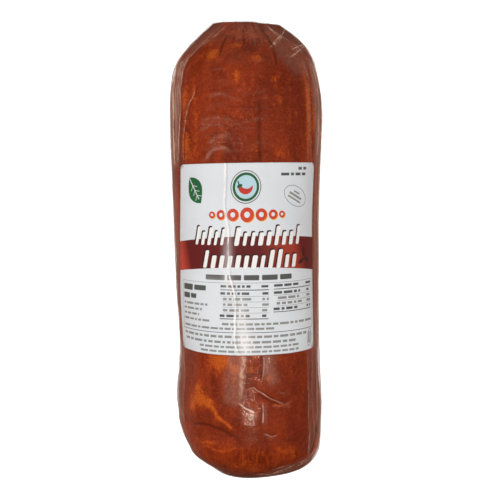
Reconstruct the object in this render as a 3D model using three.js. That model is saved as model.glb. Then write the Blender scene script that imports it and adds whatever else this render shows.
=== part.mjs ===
// A cooked coppa, sealed in a clear shrink bag, with a printed label on its upper side.
// It lies on its back. +Y runs along the log to the gathered end of the bag, +X goes across it and
// +Z goes up through the label. The origin is on the table, under the middle. Sizes are in millimetres.

import * as THREE from "three";

const DEGREE = Math.PI / 180;

// The log as it lies, pressed a little flat underneath by its own weight
const LENGTH = 301;
const CROWN_HEIGHT = 88;
const WIDEST_HEIGHT = 43;
const SINK = 3;
const SECTION_POWER = 2.2; // 2 is an ellipse, and more is squarer

// The outline from above, as stations from the round end to the gathered one. Each is a place along
// the log, with the half-widths there to the left and to the right of the middle line.
const OUTLINE = [
  [-150.5, 0, 0],
  [-149.8, 6.5, 13],
  [-148.6, 12.4, 21.9],
  [-146.8, 16.6, 30],
  [-144.2, 20.3, 37.6],
  [-141, 24.1, 42.6],
  [-137, 29.9, 46.1],
  [-132, 35.4, 48.4],
  [-126, 38.1, 49.4],
  [-119, 41.5, 49.8],
  [-111, 44, 50],
  [-102, 44.7, 50.4],
  [-91, 45.2, 50.3],
  [-78, 44.1, 49.7],
  [-63, 43.6, 49.4],
  [-45, 44.8, 49.2],
  [-25, 46.1, 48.9],
  [-5, 46.4, 48.7],
  [20, 47.3, 48.1],
  [45, 48.1, 48.6],
  [70, 49.6, 49.9],
  [88, 50.1, 50.6],
  [101, 50.1, 50.2],
  [111, 49.4, 48.9],
  [119, 48.1, 47.1],
  [127, 44.5, 44.8],
  [135, 38, 40.1],
  [143, 30.2, 32.1],
  [150.5, 22.5, 22.5],
];

// The gathered end, where the bag is drawn to a straight folded edge. The crown falls straight to
// the edge from its shoulder, and a softer shoulder is a rounder one.
const GATHERED = { start: 90, crown: 54, belly: 33, dimple: 1.5 };
const TOP_SHOULDER = { at: 118, softness: 0.45 };

// How the crown and the underside close at the round end
const ROUND_HEIGHT = { start: -110, power: 2.2, root: 2 };

// Relief of the bag
const PLEATS = { count: 13, height: 1.1, reach: 34, drift: 0.8 };
const SIDE_RIDGE = { leftAngle: -54, rightAngle: 56, height: 0.8, spread: 4, end: -120, fade: 14 };
const CREASE = { fromAngle: -66, toAngle: 52, fromY: -107.5, toY: -117.5, depth: 2.2, spread: 3.4 };
const END_SWELL = { height: 1.3, at: -125, spread: 7 };
const DENTS = { height: 0.7, along: 41, around: 3 };
const TAIL = { height: 1.2, halfAngle: 40, reach: 28, edge: 6 }; // flat end of the bag, folded under

// The label. It is stuck on a little askew, so it leans to the right by its twist from its middle to
// its top edge. Its top edge rises by a slant from left to right and its bottom edge sags by a bow.
const LABEL = {
  width: 101,
  length: 118,
  centreY: -0.3,
  centreAngle: 0.6,
  twist: 1.6,
  topSlant: 1.4,
  bottomBow: 1.5,
  cornerRadius: 3,
  thickness: 0.4,
  gap: 0.3,
};
const LABEL_RADIUS = { bottom: 46.3, top: 48.7 }; // from the log's axis to the bag under the label

// Fineness of the meshes
const COLUMNS = 72;
const BODY_RINGS = 25;
const GATHERED_RINGS = 9;
const ROUND_RINGS = 10;
const GATHERED_FACE = [0.97, 0.78, 0.5, 0.22]; // ring sizes on the end face
const LABEL_COLUMNS = 20;
const LABEL_ROWS = 18;
const CORNER_ROWS = 3;

const LAST_Y = LENGTH / 2;

// A smooth hump, 1 at its middle
function hump(value, middle, spread) {
  return Math.exp(-(((value - middle) / spread) ** 2) / 2);
}

// How far a value has gone from one number to another, from 0 to 1
function progress(value, from, to) {
  return Math.min(1, Math.max(0, (value - from) / (to - from)));
}

// The share of its height that the log still has towards the round end
function roundedShare(y) {
  const gone = progress(y, ROUND_HEIGHT.start, -LAST_Y);
  return (1 - gone ** ROUND_HEIGHT.power) ** (1 / ROUND_HEIGHT.root);
}

// How far the crown is drawn in past its shoulder, from about 0 before it to 1 at the gathered edge
function drawnIn(y) {
  const past = (y - TOP_SHOULDER.at) / (LAST_Y - TOP_SHOULDER.at);
  return (past + Math.hypot(past, TOP_SHOULDER.softness)) / (1 + Math.hypot(1, TOP_SHOULDER.softness));
}

// Half-width of the bag to the left or right of its middle line. A smooth curve joins the stations
// over the root of their distance from the round end, which closes that end round.
function halfWidth(y, isLeft) {
  const widths = OUTLINE.map((station) => station[isLeft ? 1 : 2]);
  const places = OUTLINE.map((station) => Math.sqrt(Math.max(0, station[0] + LAST_Y)));
  const place = Math.sqrt(Math.max(0, y + LAST_Y));
  const last = places.length - 1;
  const slopeAt = (i) => {
    const before = Math.max(0, i - 1);
    const after = Math.min(last, i + 1);
    return (widths[after] - widths[before]) / (places[after] - places[before]);
  };
  let i = 0;
  while (i < last - 1 && place > places[i + 1]) i++;
  const span = places[i + 1] - places[i];
  const share = Math.min(1, (place - places[i]) / span);
  const square = share ** 2;
  const cube = share ** 3;
  return (
    (2 * cube - 3 * square + 1) * widths[i] +
    (cube - 2 * square + share) * span * slopeAt(i) +
    (3 * square - 2 * cube) * widths[i + 1] +
    (cube - square) * span * slopeAt(i + 1)
  );
}

// Heights of the crown and of the underside
function heights(y) {
  const drawn = drawnIn(y);
  const share = roundedShare(y);
  const crown = CROWN_HEIGHT + (GATHERED.crown - CROWN_HEIGHT) * drawn;
  const belly = -SINK + (GATHERED.belly + SINK) * drawn;
  return {
    crown: WIDEST_HEIGHT + (crown - WIDEST_HEIGHT) * share,
    belly: WIDEST_HEIGHT + (belly - WIDEST_HEIGHT) * share,
  };
}

// Pleats fan out over the bag from its gathered end
function pleats(angle, y) {
  const ramp = progress(y, LAST_Y - PLEATS.reach, LAST_Y) ** 1.5;
  const phase = PLEATS.count * angle + PLEATS.drift * Math.sin(2 * angle + 0.5);
  return PLEATS.height * ramp * Math.cos(phase);
}

// Fins of spare film run along both sides, above and below the label
function sideRidges(angle, y) {
  const degrees = angle / DEGREE;
  const pastLabel = Math.abs(y - LABEL.centreY) - LABEL.length / 2;
  const fade =
    progress(y, SIDE_RIDGE.end, SIDE_RIDGE.end + SIDE_RIDGE.fade) * progress(pastLabel, 0, SIDE_RIDGE.fade);
  const left = hump(degrees, SIDE_RIDGE.leftAngle, SIDE_RIDGE.spread);
  const right = hump(degrees, SIDE_RIDGE.rightAngle, SIDE_RIDGE.spread);
  return SIDE_RIDGE.height * fade * (left + right);
}

// A furrow crosses the round end, deepest at the left, and the meat swells past it
function furrow(angle, y) {
  const along = (angle / DEGREE - CREASE.fromAngle) / (CREASE.toAngle - CREASE.fromAngle);
  if (along < -0.1 || along > 1.1) return 0;
  const fade = Math.sin(progress(along, -0.1, 1.1) * Math.PI) ** 0.5;
  const depth = CREASE.depth * fade * (1 - 0.6 * progress(along, 0.2, 0.7));
  const middle = CREASE.fromY + (CREASE.toY - CREASE.fromY) * along;
  const swell = END_SWELL.height * fade * hump(y, END_SWELL.at, END_SWELL.spread);
  return swell - depth * hump(y, middle, CREASE.spread);
}

// Broad, uneven dents of pressed meat
function dents(angle, y) {
  const waves = Math.sin(y / DENTS.along + 2 * Math.sin(angle)) * Math.cos(DENTS.around * angle + y / 60);
  return DENTS.height * waves;
}

// The flat tails of the bag lie folded against the underside of both ends
function tails(angle, y) {
  const fromBelow = 180 - Math.abs(angle / DEGREE);
  const across = 1 - progress(fromBelow, TAIL.halfAngle - TAIL.edge, TAIL.halfAngle);
  const along = progress(Math.abs(y), LAST_Y - TAIL.reach, LAST_Y - TAIL.reach + TAIL.edge);
  return TAIL.height * across * along;
}

function relief(angle, y) {
  return pleats(angle, y) + sideRidges(angle, y) + furrow(angle, y) + dents(angle, y) + tails(angle, y);
}

// A point of the bag. The angle is 0 at the crown and grows to the right.
function bagPoint(angle, y, size = 1) {
  const { crown, belly } = heights(y);
  const across = Math.sin(angle);
  const up = Math.cos(angle);
  const width = halfWidth(y, across < 0);
  const height = up > 0 ? crown - WIDEST_HEIGHT : WIDEST_HEIGHT - belly;
  const reach =
    (Math.abs(across / width) ** SECTION_POWER + Math.abs(up / height) ** SECTION_POWER) **
    (-1 / SECTION_POWER);
  const radius = (reach + relief(angle, y)) * size;
  const sunk = size < 1 ? GATHERED.dimple * (1 - size ** 2) : 0;
  return new THREE.Vector3(
    radius * across,
    y - sunk,
    Math.max(0, WIDEST_HEIGHT + radius * up),
  );
}

// A point that stands off the bag along its normal
function pointAbove(angle, y, lift) {
  const step = 0.01;
  const here = bagPoint(angle, y);
  const around = bagPoint(angle + step, y).sub(here);
  const along = bagPoint(angle, y + step).sub(here);
  const normal = around.cross(along).normalize();
  return here.addScaledVector(normal, lift);
}

function geometryOf(points, triangles) {
  const geometry = new THREE.BufferGeometry();
  const places = points.flatMap((point) => point.toArray());
  geometry.setAttribute("position", new THREE.Float32BufferAttribute(places, 3));
  geometry.setIndex(triangles);
  geometry.computeVertexNormals();
  return geometry;
}

// Rings of the bag from the round end to the gathered end, each a station and a size
function bagRings() {
  const rings = [];
  for (let i = ROUND_RINGS - 1; i > 0; i--) {
    const share = Math.sin((i / ROUND_RINGS) * 90 * DEGREE);
    rings.push({ y: ROUND_HEIGHT.start - share * (LAST_Y + ROUND_HEIGHT.start), size: 1 });
  }
  for (let i = 0; i < BODY_RINGS; i++) {
    const y = ROUND_HEIGHT.start + (i / BODY_RINGS) * (GATHERED.start - ROUND_HEIGHT.start);
    rings.push({ y, size: 1 });
  }
  for (let i = 0; i <= GATHERED_RINGS; i++) {
    const y = GATHERED.start + (i / GATHERED_RINGS) * (LAST_Y - GATHERED.start);
    rings.push({ y, size: 1 });
  }
  for (const size of GATHERED_FACE) rings.push({ y: LAST_Y, size });
  return rings;
}

function bagGeometry() {
  const points = [];
  const triangles = [];
  const rings = bagRings();
  for (const { y, size } of rings) {
    for (let c = 0; c < COLUMNS; c++) points.push(bagPoint((c / COLUMNS - 0.5) * 360 * DEGREE, y, size));
  }
  const firstPole = points.push(new THREE.Vector3(0, -LAST_Y, WIDEST_HEIGHT)) - 1;
  const lastPole = points.push(new THREE.Vector3(0, LAST_Y - GATHERED.dimple, WIDEST_HEIGHT)) - 1;
  for (let c = 0; c < COLUMNS; c++) {
    const next = (c + 1) % COLUMNS;
    for (let r = 0; r + 1 < rings.length; r++) {
      const low = r * COLUMNS;
      const high = low + COLUMNS;
      triangles.push(low + c, low + next, high + c);
      triangles.push(low + next, high + next, high + c);
    }
    const top = (rings.length - 1) * COLUMNS;
    triangles.push(firstPole, next, c);
    triangles.push(lastPole, top + c, top + next);
  }
  return geometryOf(points, triangles);
}

// Rows of the label from its bottom edge to its top edge, closer together round the corners
function labelRows() {
  const straight = LABEL.length / 2 - LABEL.cornerRadius;
  const corner = [];
  for (let i = 0; i < CORNER_ROWS; i++) {
    corner.push(straight + LABEL.cornerRadius * Math.cos((i / CORNER_ROWS) * 90 * DEGREE));
  }
  const rows = corner.map((v) => -v);
  for (let i = 0; i <= LABEL_ROWS; i++) rows.push(-straight + (i / LABEL_ROWS) * 2 * straight);
  return rows.concat(corner.reverse());
}

// Half the label's width at a row, drawn in round the corners
function labelHalfWidth(v) {
  const into = Math.abs(v) - (LABEL.length / 2 - LABEL.cornerRadius);
  if (into <= 0) return LABEL.width / 2;
  const left = Math.sqrt(Math.max(0, LABEL.cornerRadius ** 2 - into ** 2));
  return LABEL.width / 2 - LABEL.cornerRadius + left;
}

// Where a point of the flat label, u across and v up from its middle, lies on the log
function labelPlace(u, v) {
  const across = (2 * u) / LABEL.width;
  const up = v / LABEL.length + 0.5;
  const radius = LABEL_RADIUS.bottom + (LABEL_RADIUS.top - LABEL_RADIUS.bottom) * up;
  const middle = (LABEL.centreAngle + LABEL.twist * (2 * up - 1)) * DEGREE;
  const slant = (LABEL.topSlant / 2) * across * up;
  const bow = LABEL.bottomBow * (1 - across ** 2) * (1 - up);
  return { angle: middle + u / radius, y: LABEL.centreY + v + slant - bow };
}

function labelGeometry() {
  const points = [];
  const triangles = [];
  const rows = labelRows();
  const wide = LABEL_COLUMNS + 1;
  for (const lift of [LABEL.gap, LABEL.gap + LABEL.thickness]) {
    for (const v of rows) {
      for (let c = 0; c < wide; c++) {
        const u = (2 * (c / LABEL_COLUMNS) - 1) * labelHalfWidth(v);
        const place = labelPlace(u, v);
        points.push(pointAbove(place.angle, place.y, lift));
      }
    }
  }
  const layer = rows.length * wide;
  for (let r = 0; r + 1 < rows.length; r++) {
    for (let c = 0; c < LABEL_COLUMNS; c++) {
      const a = r * wide + c;
      const b = a + wide;
      triangles.push(a, b, a + 1, a + 1, b, b + 1);
      triangles.push(layer + a, layer + a + 1, layer + b);
      triangles.push(layer + a + 1, layer + b + 1, layer + b);
    }
  }
  const rim = [];
  for (let c = 0; c < LABEL_COLUMNS; c++) rim.push(c);
  for (let r = 0; r + 1 < rows.length; r++) rim.push(r * wide + LABEL_COLUMNS);
  for (let c = LABEL_COLUMNS; c > 0; c--) rim.push((rows.length - 1) * wide + c);
  for (let r = rows.length - 1; r > 0; r--) rim.push(r * wide);
  rim.forEach((here, i) => {
    const next = rim[(i + 1) % rim.length];
    triangles.push(here, next, layer + here);
    triangles.push(next, layer + next, layer + here);
  });
  return geometryOf(points, triangles);
}

function bag() {
  const material = new THREE.MeshStandardMaterial({ color: 0x84351e, roughness: 0.25, metalness: 0 });
  const mesh = new THREE.Mesh(bagGeometry(), material);
  mesh.name = "sealed_bag";
  return mesh;
}

function label() {
  const material = new THREE.MeshStandardMaterial({ color: 0xdedfe0, roughness: 0.35, metalness: 0 });
  const mesh = new THREE.Mesh(labelGeometry(), material);
  mesh.name = "label";
  return mesh;
}

const group = new THREE.Group();
group.add(bag(), label());

// The origin lies under the middle of the whole
const box = new THREE.Box3().setFromObject(group);
const middle = box.getCenter(new THREE.Vector3());
group.position.set(-middle.x, -middle.y, -box.min.z);

export default group;
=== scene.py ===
# A whole cooked coppa in a clear sealed bag, with a printed label over its upper side.
# It lies on its back, label up. +Y runs along the log to the gathered end of the bag. The form is
# worked out in millimetres round the log's own middle line, and every mesh is made in metres.

import math
from collections import namedtuple

import bpy
import numpy as np
from bpy.props import FloatProperty, FloatVectorProperty, IntProperty, PointerProperty
from mathutils import Matrix, Vector, geometry, noise


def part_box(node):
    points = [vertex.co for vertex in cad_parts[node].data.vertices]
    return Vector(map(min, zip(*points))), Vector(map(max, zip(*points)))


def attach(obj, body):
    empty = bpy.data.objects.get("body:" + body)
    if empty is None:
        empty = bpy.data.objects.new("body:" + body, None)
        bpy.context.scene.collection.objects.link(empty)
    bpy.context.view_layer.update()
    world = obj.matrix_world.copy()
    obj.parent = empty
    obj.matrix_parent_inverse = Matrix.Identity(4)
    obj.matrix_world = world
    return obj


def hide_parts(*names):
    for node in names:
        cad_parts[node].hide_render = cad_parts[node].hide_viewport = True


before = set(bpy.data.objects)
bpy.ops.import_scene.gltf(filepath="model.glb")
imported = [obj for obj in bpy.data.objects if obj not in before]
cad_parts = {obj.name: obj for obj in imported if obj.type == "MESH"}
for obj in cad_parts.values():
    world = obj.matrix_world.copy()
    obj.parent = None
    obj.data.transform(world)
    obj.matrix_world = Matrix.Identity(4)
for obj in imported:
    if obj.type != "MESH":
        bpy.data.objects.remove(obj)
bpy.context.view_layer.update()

bl_info = {
    "name": "Coppa in a Sealed Bag",
    "version": (1, 0, 0),
    "blender": (4, 5, 0),
    "location": "3D View > Sidebar > Coppa",
    "description": "Makes a cooked coppa log in clear shrink film, with a printed label",
    "category": "Add Mesh",
}

MM = 0.001
DEGREE = math.pi / 180
MM_PER_DEGREE = 0.85  # about how far a degree reaches round the log
BAG_LOW, BAG_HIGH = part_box("sealed_bag")
BODY = "root"

# The log's form, as its solid has it
LENGTH = (BAG_HIGH.y - BAG_LOW.y) / MM
LAST_Y = LENGTH / 2
CROWN_HEIGHT = 88
WIDEST_HEIGHT = 43
SINK = 3
SECTION_POWER = 2.2

# The outline from above, from the round end to the gathered end: a place along the log, and the
# half-widths there to the left and to the right of the middle line
OUTLINE = (
    (-150.5, 0, 0),
    (-149.8, 6.5, 13),
    (-148.6, 12.4, 21.9),
    (-146.8, 16.6, 30),
    (-144.2, 20.3, 37.6),
    (-141, 24.1, 42.6),
    (-137, 29.9, 46.1),
    (-132, 35.4, 48.4),
    (-126, 38.1, 49.4),
    (-119, 41.5, 49.8),
    (-111, 44, 50),
    (-102, 44.7, 50.4),
    (-91, 45.2, 50.3),
    (-78, 44.1, 49.7),
    (-63, 43.6, 49.4),
    (-45, 44.8, 49.2),
    (-25, 46.1, 48.9),
    (-5, 46.4, 48.7),
    (20, 47.3, 48.1),
    (45, 48.1, 48.6),
    (70, 49.6, 49.9),
    (88, 50.1, 50.6),
    (101, 50.1, 50.2),
    (111, 49.4, 48.9),
    (119, 48.1, 47.1),
    (127, 44.5, 44.8),
    (135, 38, 40.1),
    (143, 30.2, 32.1),
    (150.5, 22.5, 22.5),
)

GATHERED_CROWN = 54
GATHERED_BELLY = 33
GATHERED_DIMPLE = 1.5
TOP_SHOULDER_AT = 118
TOP_SHOULDER_SOFTNESS = 0.45

# How the crown and the underside close at the round end
ROUND_START = -110
ROUND_POWER = 2.2
ROUND_ROOT = 2

# The furrow across the round end, the swell past it, broad dents, and the tails under both ends
FURROW_FROM = (-66, -107.5)
FURROW_TO = (52, -117.5)
FURROW_DEPTH = 2.2
FURROW_SPREAD = 3.4
SWELL_HEIGHT = 1.3
SWELL_AT = -125
SWELL_SPREAD = 7
DENT_HEIGHT = 0.7
DENT_ALONG = 41
TAIL_HEIGHT = 1.2
TAIL_HALF_ANGLE = 40
TAIL_REACH = 28
TAIL_EDGE = 6
TAIL_INSET = 5  # degrees by which the film's tail is narrower on each side than its bed
TAIL_INNER_GAP = 4  # from the bed's inner edge to the film's tail
GATHERED_TAIL_GAP = 3  # from the log's end to the film's tail
ROUND_TAIL_GAP = 5
TAIL_COLUMNS = 40
TAIL_ROWS = 26
TAIL_THICKNESS = 0.25
TAIL_HAZE = 0.3
SEAL_HEIGHT = 0.12
SEAL_RIBS = 9

# Pleats at the gathered end
PLEAT_COUNT = 13
PLEAT_HEIGHT = 0.7
PLEAT_REACH = 34
PLEAT_DRIFT = 0.8
EDGE_SLOPE = (8, 60, 0.9)  # from one angle to the other, the edge falls away by this much
EDGE_REACH = 14

# The meat's ends against the film's, and how far each end face's middle lies below its last ring
MEAT_SHORTER = 0.5
MEAT_DIMPLE = 1.9
MEAT_POLE = 0.3
FILM_POLE = 0.8
LEAST_GAP_SHARE = 0.6  # of the film gap, which the meat keeps under the film's valleys too

# Small relief: how high it is and the size of its lumps
FILM_RIPPLE = (0.1, 7)
FILM_SWAY = (0.25, 22)
MEAT_LUMPS = (0.45, 16)
MEAT_BUMPS = (0.16, 4)
MEAT_FIBRES = (0.25, 2.2)
MEAT_TUCK = 0.9
FIBRES_FROM = (112, 122)  # towards the round end, where the meat's fibres set in
MEAT_FURROW_SHARE = 1.25  # the meat's furrow is deeper than the solid's

# How much of the furrow the film follows, and how much less where it spans the middle
FILM_FURROW_SHARE = 0.85
SPANNED_SHARE = 0.65
SPANNED_AT = 4
SPANNED_SPREAD = 20

# Between these angles from the top, the film's creases sink by a share
CALM_ANGLES = (120, 150)
CALM_SHARE = 0.6

# Fineness of the skins: close columns over the upper side, and runs of rings along the log, each
# with the place where it ends
UPPER_ANGLE = 88
UPPER_COLUMNS = 286
LOWER_COLUMNS = 62
ROUND_RINGS = 60
RING_RUNS = ((-58, 76), (58, 46), (116, 50), (LAST_Y, 44))
FACE_SIZES = (0.98, 0.9, 0.72, 0.5, 0.28, 0.12)

# The label, flat: u across it and v up it from its middle
LABEL_WIDTH = 101
LABEL_LENGTH = 118
LABEL_CENTRE_Y = -0.3
LABEL_CENTRE_ANGLE = 0.6
LABEL_TWIST = 1.6
LABEL_TOP_SLANT = 1.4
LABEL_BOTTOM_BOW = 1.5
LABEL_CORNER = 3
LABEL_RADIUS_BOTTOM = 46.3
LABEL_RADIUS_TOP = 48.7

# Creases of the film: a path of angles round the log and places along it, the height of the
# crease (below 0 is a valley), how far it reaches to each side, whether its crest is sharp, the
# painted highlight along its crest (below 0 it is painted shade) and the width of that line
Crease = namedtuple("Crease", "path height reach sharp glow width", defaults=(0.0, 0.45))
LEFT_FOLDS = (
    Crease(
        ((-42, 106), (-43, 101), (-47, 95), (-49.4, 89), (-51.6, 81), (-53, 73.5), (-54.2, 58)),
        0.3, 0.8, True, 0.24, 0.4,
    ),
    Crease(
        (
            (-52, 148.4), (-52.6, 140), (-54, 131), (-57, 124), (-57.5, 118),
            (-56.6, 108), (-55.8, 92), (-57.5, 80), (-60, 58),
        ),
        0.6, 2.2, True, 0.2, 0.5,
    ),
    Crease(((-43.5, 147.5), (-46, 139.6), (-50.3, 133.4)), 0.35, 0.9, True, 0.25, 0.4),
    Crease(((-77.8, 149), (-71, 139), (-70.3, 130), (-74, 124)), 0.4, 1.0, True, 0.22, 0.5),
    Crease(((-70, 118), (-69.9, 105), (-68, 93), (-67.5, 80), (-67.1, 56)), 0.45, 1.0, True, 0.5, 0.9),
    Crease(((-72, 62), (-74, 20), (-73, -30), (-70, -64)), 0.6, 2.2, True, 0.2, 0.5),
    Crease(((-83.7, -66), (-83.3, -71.4), (-79, -75), (-71, -76.5)), 0.5, 0.8, True, 0.45, 0.45),
    Crease(((-84.6, -76), (-84.9, -85.3), (-83, -92.7), (-81.6, -104)), 0.5, 0.9, True, 0.4, 0.5),
    Crease(((-62, -60), (-61, -68), (-59, -76), (-59, -92), (-62, -112)), 0.6, 2.4, True, 0.08, 0.5),
)
RIGHT_FOLDS = (
    Crease(
        ((55.6, 127), (57, 114), (55.8, 104), (55.2, 92), (55.6, 80), (57.4, 58)),
        0.2, 0.9, True, 0.1, 1.3,
    ),
    Crease(
        ((57, 127.7), (58.8, 122), (58.8, 114), (57.5, 104), (57, 92), (57.4, 80), (59, 58)),
        -0.5, 0.9, False, -0.3, 0.45,
    ),
    Crease(((61, 128), (62, 114), (60.5, 98), (61, 80), (62, 58)), 0.5, 2.2, True),
    Crease(
        ((70, 126), (69, 109), (67, 92), (67.3, 80), (66.3, 71), (65.1, 58)),
        0.4, 1.0, True, 0.3, 0.6,
    ),
    Crease(((74, 112), (74.5, 99), (73.8, 87), (73.4, 75), (73.2, 58)), 0.35, 0.9, True, 0.2, 0.4),
    Crease(((71, 61), (71, 40), (73, 10), (72, -40)), 0.7, 2.2, True, 0.15, 0.5),
    Crease(
        ((52.7, -58), (53.1, -80), (53.4, -93), (53.6, -104), (55.8, -116)),
        0.6, 1.4, True, 0.14, 0.4,
    ),
    Crease(((55.9, -110), (55.9, -116), (56.5, -125), (59.3, -132)), 0.5, 1.1, True, 0.3, 0.45),
    Crease(
        ((59.3, -58), (58.2, -77), (57.2, -87), (58.5, -101), (60.6, -111), (58.3, -117)),
        0.5, 1.2, True, 0.12, 0.4,
    ),
    Crease(((67, -58), (65.5, -78), (64.5, -95), (65.5, -104), (61, -112)), 0.5, 1.2, True, 0.1, 0.4),
    Crease(((64, -108), (66, -116), (63, -125), (60, -131)), -0.4, 1.4, False, -0.8, 1.5),
    Crease(((75.3, -60), (77, -80), (77.2, -93.5), (78, -104)), 0.6, 1.0, True, 0.35, 0.6),
)
PLEAT_CREASES = (
    Crease(
        ((-29.9, 148), (-29.7, 143.6), (-30.5, 137.7), (-28.8, 130.6), (-26.5, 124)),
        -0.5, 1.4, False, -0.5, 0.7,
    ),
    Crease(((-1.7, 149), (-3.7, 143.5), (-3.3, 138.3), (-2, 131.6)), -0.55, 1.0, False, -0.7, 0.42),
    Crease(((-16, 150), (-12, 140)), 0.35, 1.2, True, 0.08, 0.4),
    Crease(((12, 150), (10, 141)), 0.3, 1.1, True, 0.06, 0.4),
    Crease(
        ((41, 149), (36, 143), (35, 138.6), (31.8, 128.6), (27.9, 118)),
        -0.5, 1.1, False, -0.65, 0.55,
    ),
    Crease(((78, 147), (53.7, 140.6), (43.8, 137.5), (27, 130.4)), 0.7, 1.0, True, 0.6, 0.42),
    Crease(((52, 139), (41, 135.2), (31, 131)), 0.4, 0.8, True, 0.4, 0.4),
    Crease(((80, 136.5), (64.3, 133.7), (51, 130.6)), 0.6, 0.9, True, 0.6, 0.42),
    Crease(((79, 135.2), (60.9, 130.8), (43, 124.4)), 0.5, 0.9, True, 0.42, 0.38),
    Crease(((49, 148), (47, 143), (50, 139)), 0.4, 0.9, True, 0.3, 0.42),
    Crease(((46, 149), (52, 141), (60, 134), (64, 128)), 0.4, 0.9, True, 0.28, 0.4),
)
UPPER_CREASES = (
    Crease(
        ((-34, 58), (-32.4, 60.7), (-26.4, 66.7), (-18.3, 67.8), (-12, 65.2)),
        0.1, 1.8, False, 0.12, 1.5,
    ),
    Crease(((-30, 69.8), (-24, 73.8), (-16, 75), (-10, 74)), 0.08, 1.6, False, 0.1, 1.4),
    Crease(((-37, 79), (-32.2, 80.7), (-25.7, 82.4), (-19, 82)), 0.08, 1.6, False, 0.11, 1.3),
    Crease(((-36.5, 85.3), (-20, 86.1), (-8, 84.1)), 0.04, 1.5, False, 0.07, 1.2),
    Crease(((-30, 100), (-20, 101), (-12, 99)), 0.06, 1.5, False, 0.06, 1.2),
    Crease(((9, 100), (11, 94), (11, 79), (12, 58)), -0.3, 1.3, False, -0.2, 1.2),
    Crease(((-16, 92.6), (-4.7, 93.3), (8.2, 92.6), (24, 93.2)), -0.02, 1.1, False, -0.3, 0.3),
    Crease(((-30, 103), (-18, 104.6), (-5, 104.4)), -0.02, 1.1, False, -0.2, 0.3),
    Crease(((12, 106.8), (28, 107.6), (43, 107.1)), -0.02, 1.1, False, -0.25, 0.3),
    Crease(((-34, 99.5), (-20, 100.4), (-8, 99.8)), -0.02, 1.1, False, -0.2, 0.3),
    Crease(((-20, 87), (-6, 86), (8, 87)), -0.02, 1.1, False, -0.18, 0.3),
)
LOWER_CREASES = (
    Crease(
        ((-2, -56), (-1.6, -64), (-2.2, -70), (-2.8, -75), (-3.2, -81), (-3.4, -90)),
        0.35, 1.4, True, 0.28, 1.7,
    ),
    Crease(((3.4, -64), (3.6, -70), (2.6, -77), (3, -83)), -0.2, 1.0, False, -0.15, 0.4),
    Crease(((-5, -78), (-3.4, -82), (-3.2, -90)), 0.3, 0.8, True, 0.3, 0.6),
    Crease(
        (
            (-3, -83.2), (2.4, -82.1), (5.7, -81.1), (9.8, -83.2),
            (14.5, -85.5), (19.5, -88.3), (25.2, -90.5), (31, -92.8),
        ),
        0.45, 0.9, True, 0.32, 0.42,
    ),
    Crease(
        ((9, -85), (12.9, -86.6), (17.8, -89.2), (23.5, -91.2), (28.5, -93)),
        -0.45, 1.2, False, -0.5, 0.6,
    ),
    Crease(
        ((14.5, -56), (14.8, -65), (14.5, -70.3), (13.8, -74.2), (12.4, -77.8)),
        0.45, 0.8, True, 0.24, 0.35,
    ),
    Crease(((12.7, -56), (12.9, -66.4), (12.9, -72.2), (11.9, -76.5)), -0.45, 0.9, False, -0.7, 0.5),
    Crease(
        ((-6.6, -90.8), (-3.8, -91.8), (-0.8, -93.9), (4, -95.7), (8, -97)),
        0.08, 1.2, False, 0.5, 0.5,
    ),
    Crease(((13.8, -91), (14.2, -98), (13.8, -105)), 0.06, 1.0, False, 0.36, 0.42),
    Crease(((14.5, -110), (20.8, -112.8), (25.5, -111.8)), 0.3, 0.7, True, 0.26, 0.4),
    Crease(((26, -83.8), (29.2, -85.5), (33, -85)), 0.2, 0.7, True, 0.15, 0.35),
    Crease(((20, -92.8), (26.8, -93.2), (31.8, -92.4), (37.5, -91.4)), 0.2, 0.7, True, 0.1, 0.4),
    Crease(((24, -94.4), (31, -93.9), (38, -94.8)), 0.2, 0.7, True, 0.1, 0.35),
    Crease(((26, -137), (32.2, -135.9), (42, -134)), 0.5, 1.0, True, 0.3, 0.4),
    Crease(((24, -142), (30.3, -140.6), (40, -137.5), (50, -134.6)), 0.7, 1.2, True, 0.3, 0.5),
    Crease(
        ((12, -140), (19, -140.8), (31.9, -141.5), (39, -140.1), (49, -138)),
        0.7, 1.2, True, 0.3, 0.6,
    ),
    Crease(((52, -134.5), (57.7, -133.1), (63.9, -129.7), (71, -125.5)), 0.7, 1.2, True, 0.35, 0.5),
    Crease(((52, -137.5), (63.3, -133.6), (71, -129.3)), 0.5, 1.0, True, 0.3, 0.5),
    Crease(((-60, -124), (-54, -131.6), (-44.2, -133), (-38, -138)), 0.5, 1.3, True, 0.25, 0.7),
)
FILM_CREASES = LEFT_FOLDS + RIGHT_FOLDS + PLEAT_CREASES + UPPER_CREASES + LOWER_CREASES
LINE_LIMIT = 4.5  # widths from a crest at which its line has faded out
TAPER = 0.18  # share of a crease, at each end, over which it fades

# Where the film stands clear of the meat: angle, place along, how far, spread round and along
Pocket = namedtuple("Pocket", "angle y depth round_spread spread")
POCKETS = (
    Pocket(-84, 117, 1.2, 8, 4),
    Pocket(86, -72, 0.9, 10, 12),
    Pocket(66, -131, 1.4, 14, 6),
    Pocket(36, -144, 1.4, 22, 5),
    Pocket(-40, -146, 0.8, 22, 5),
)

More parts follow.
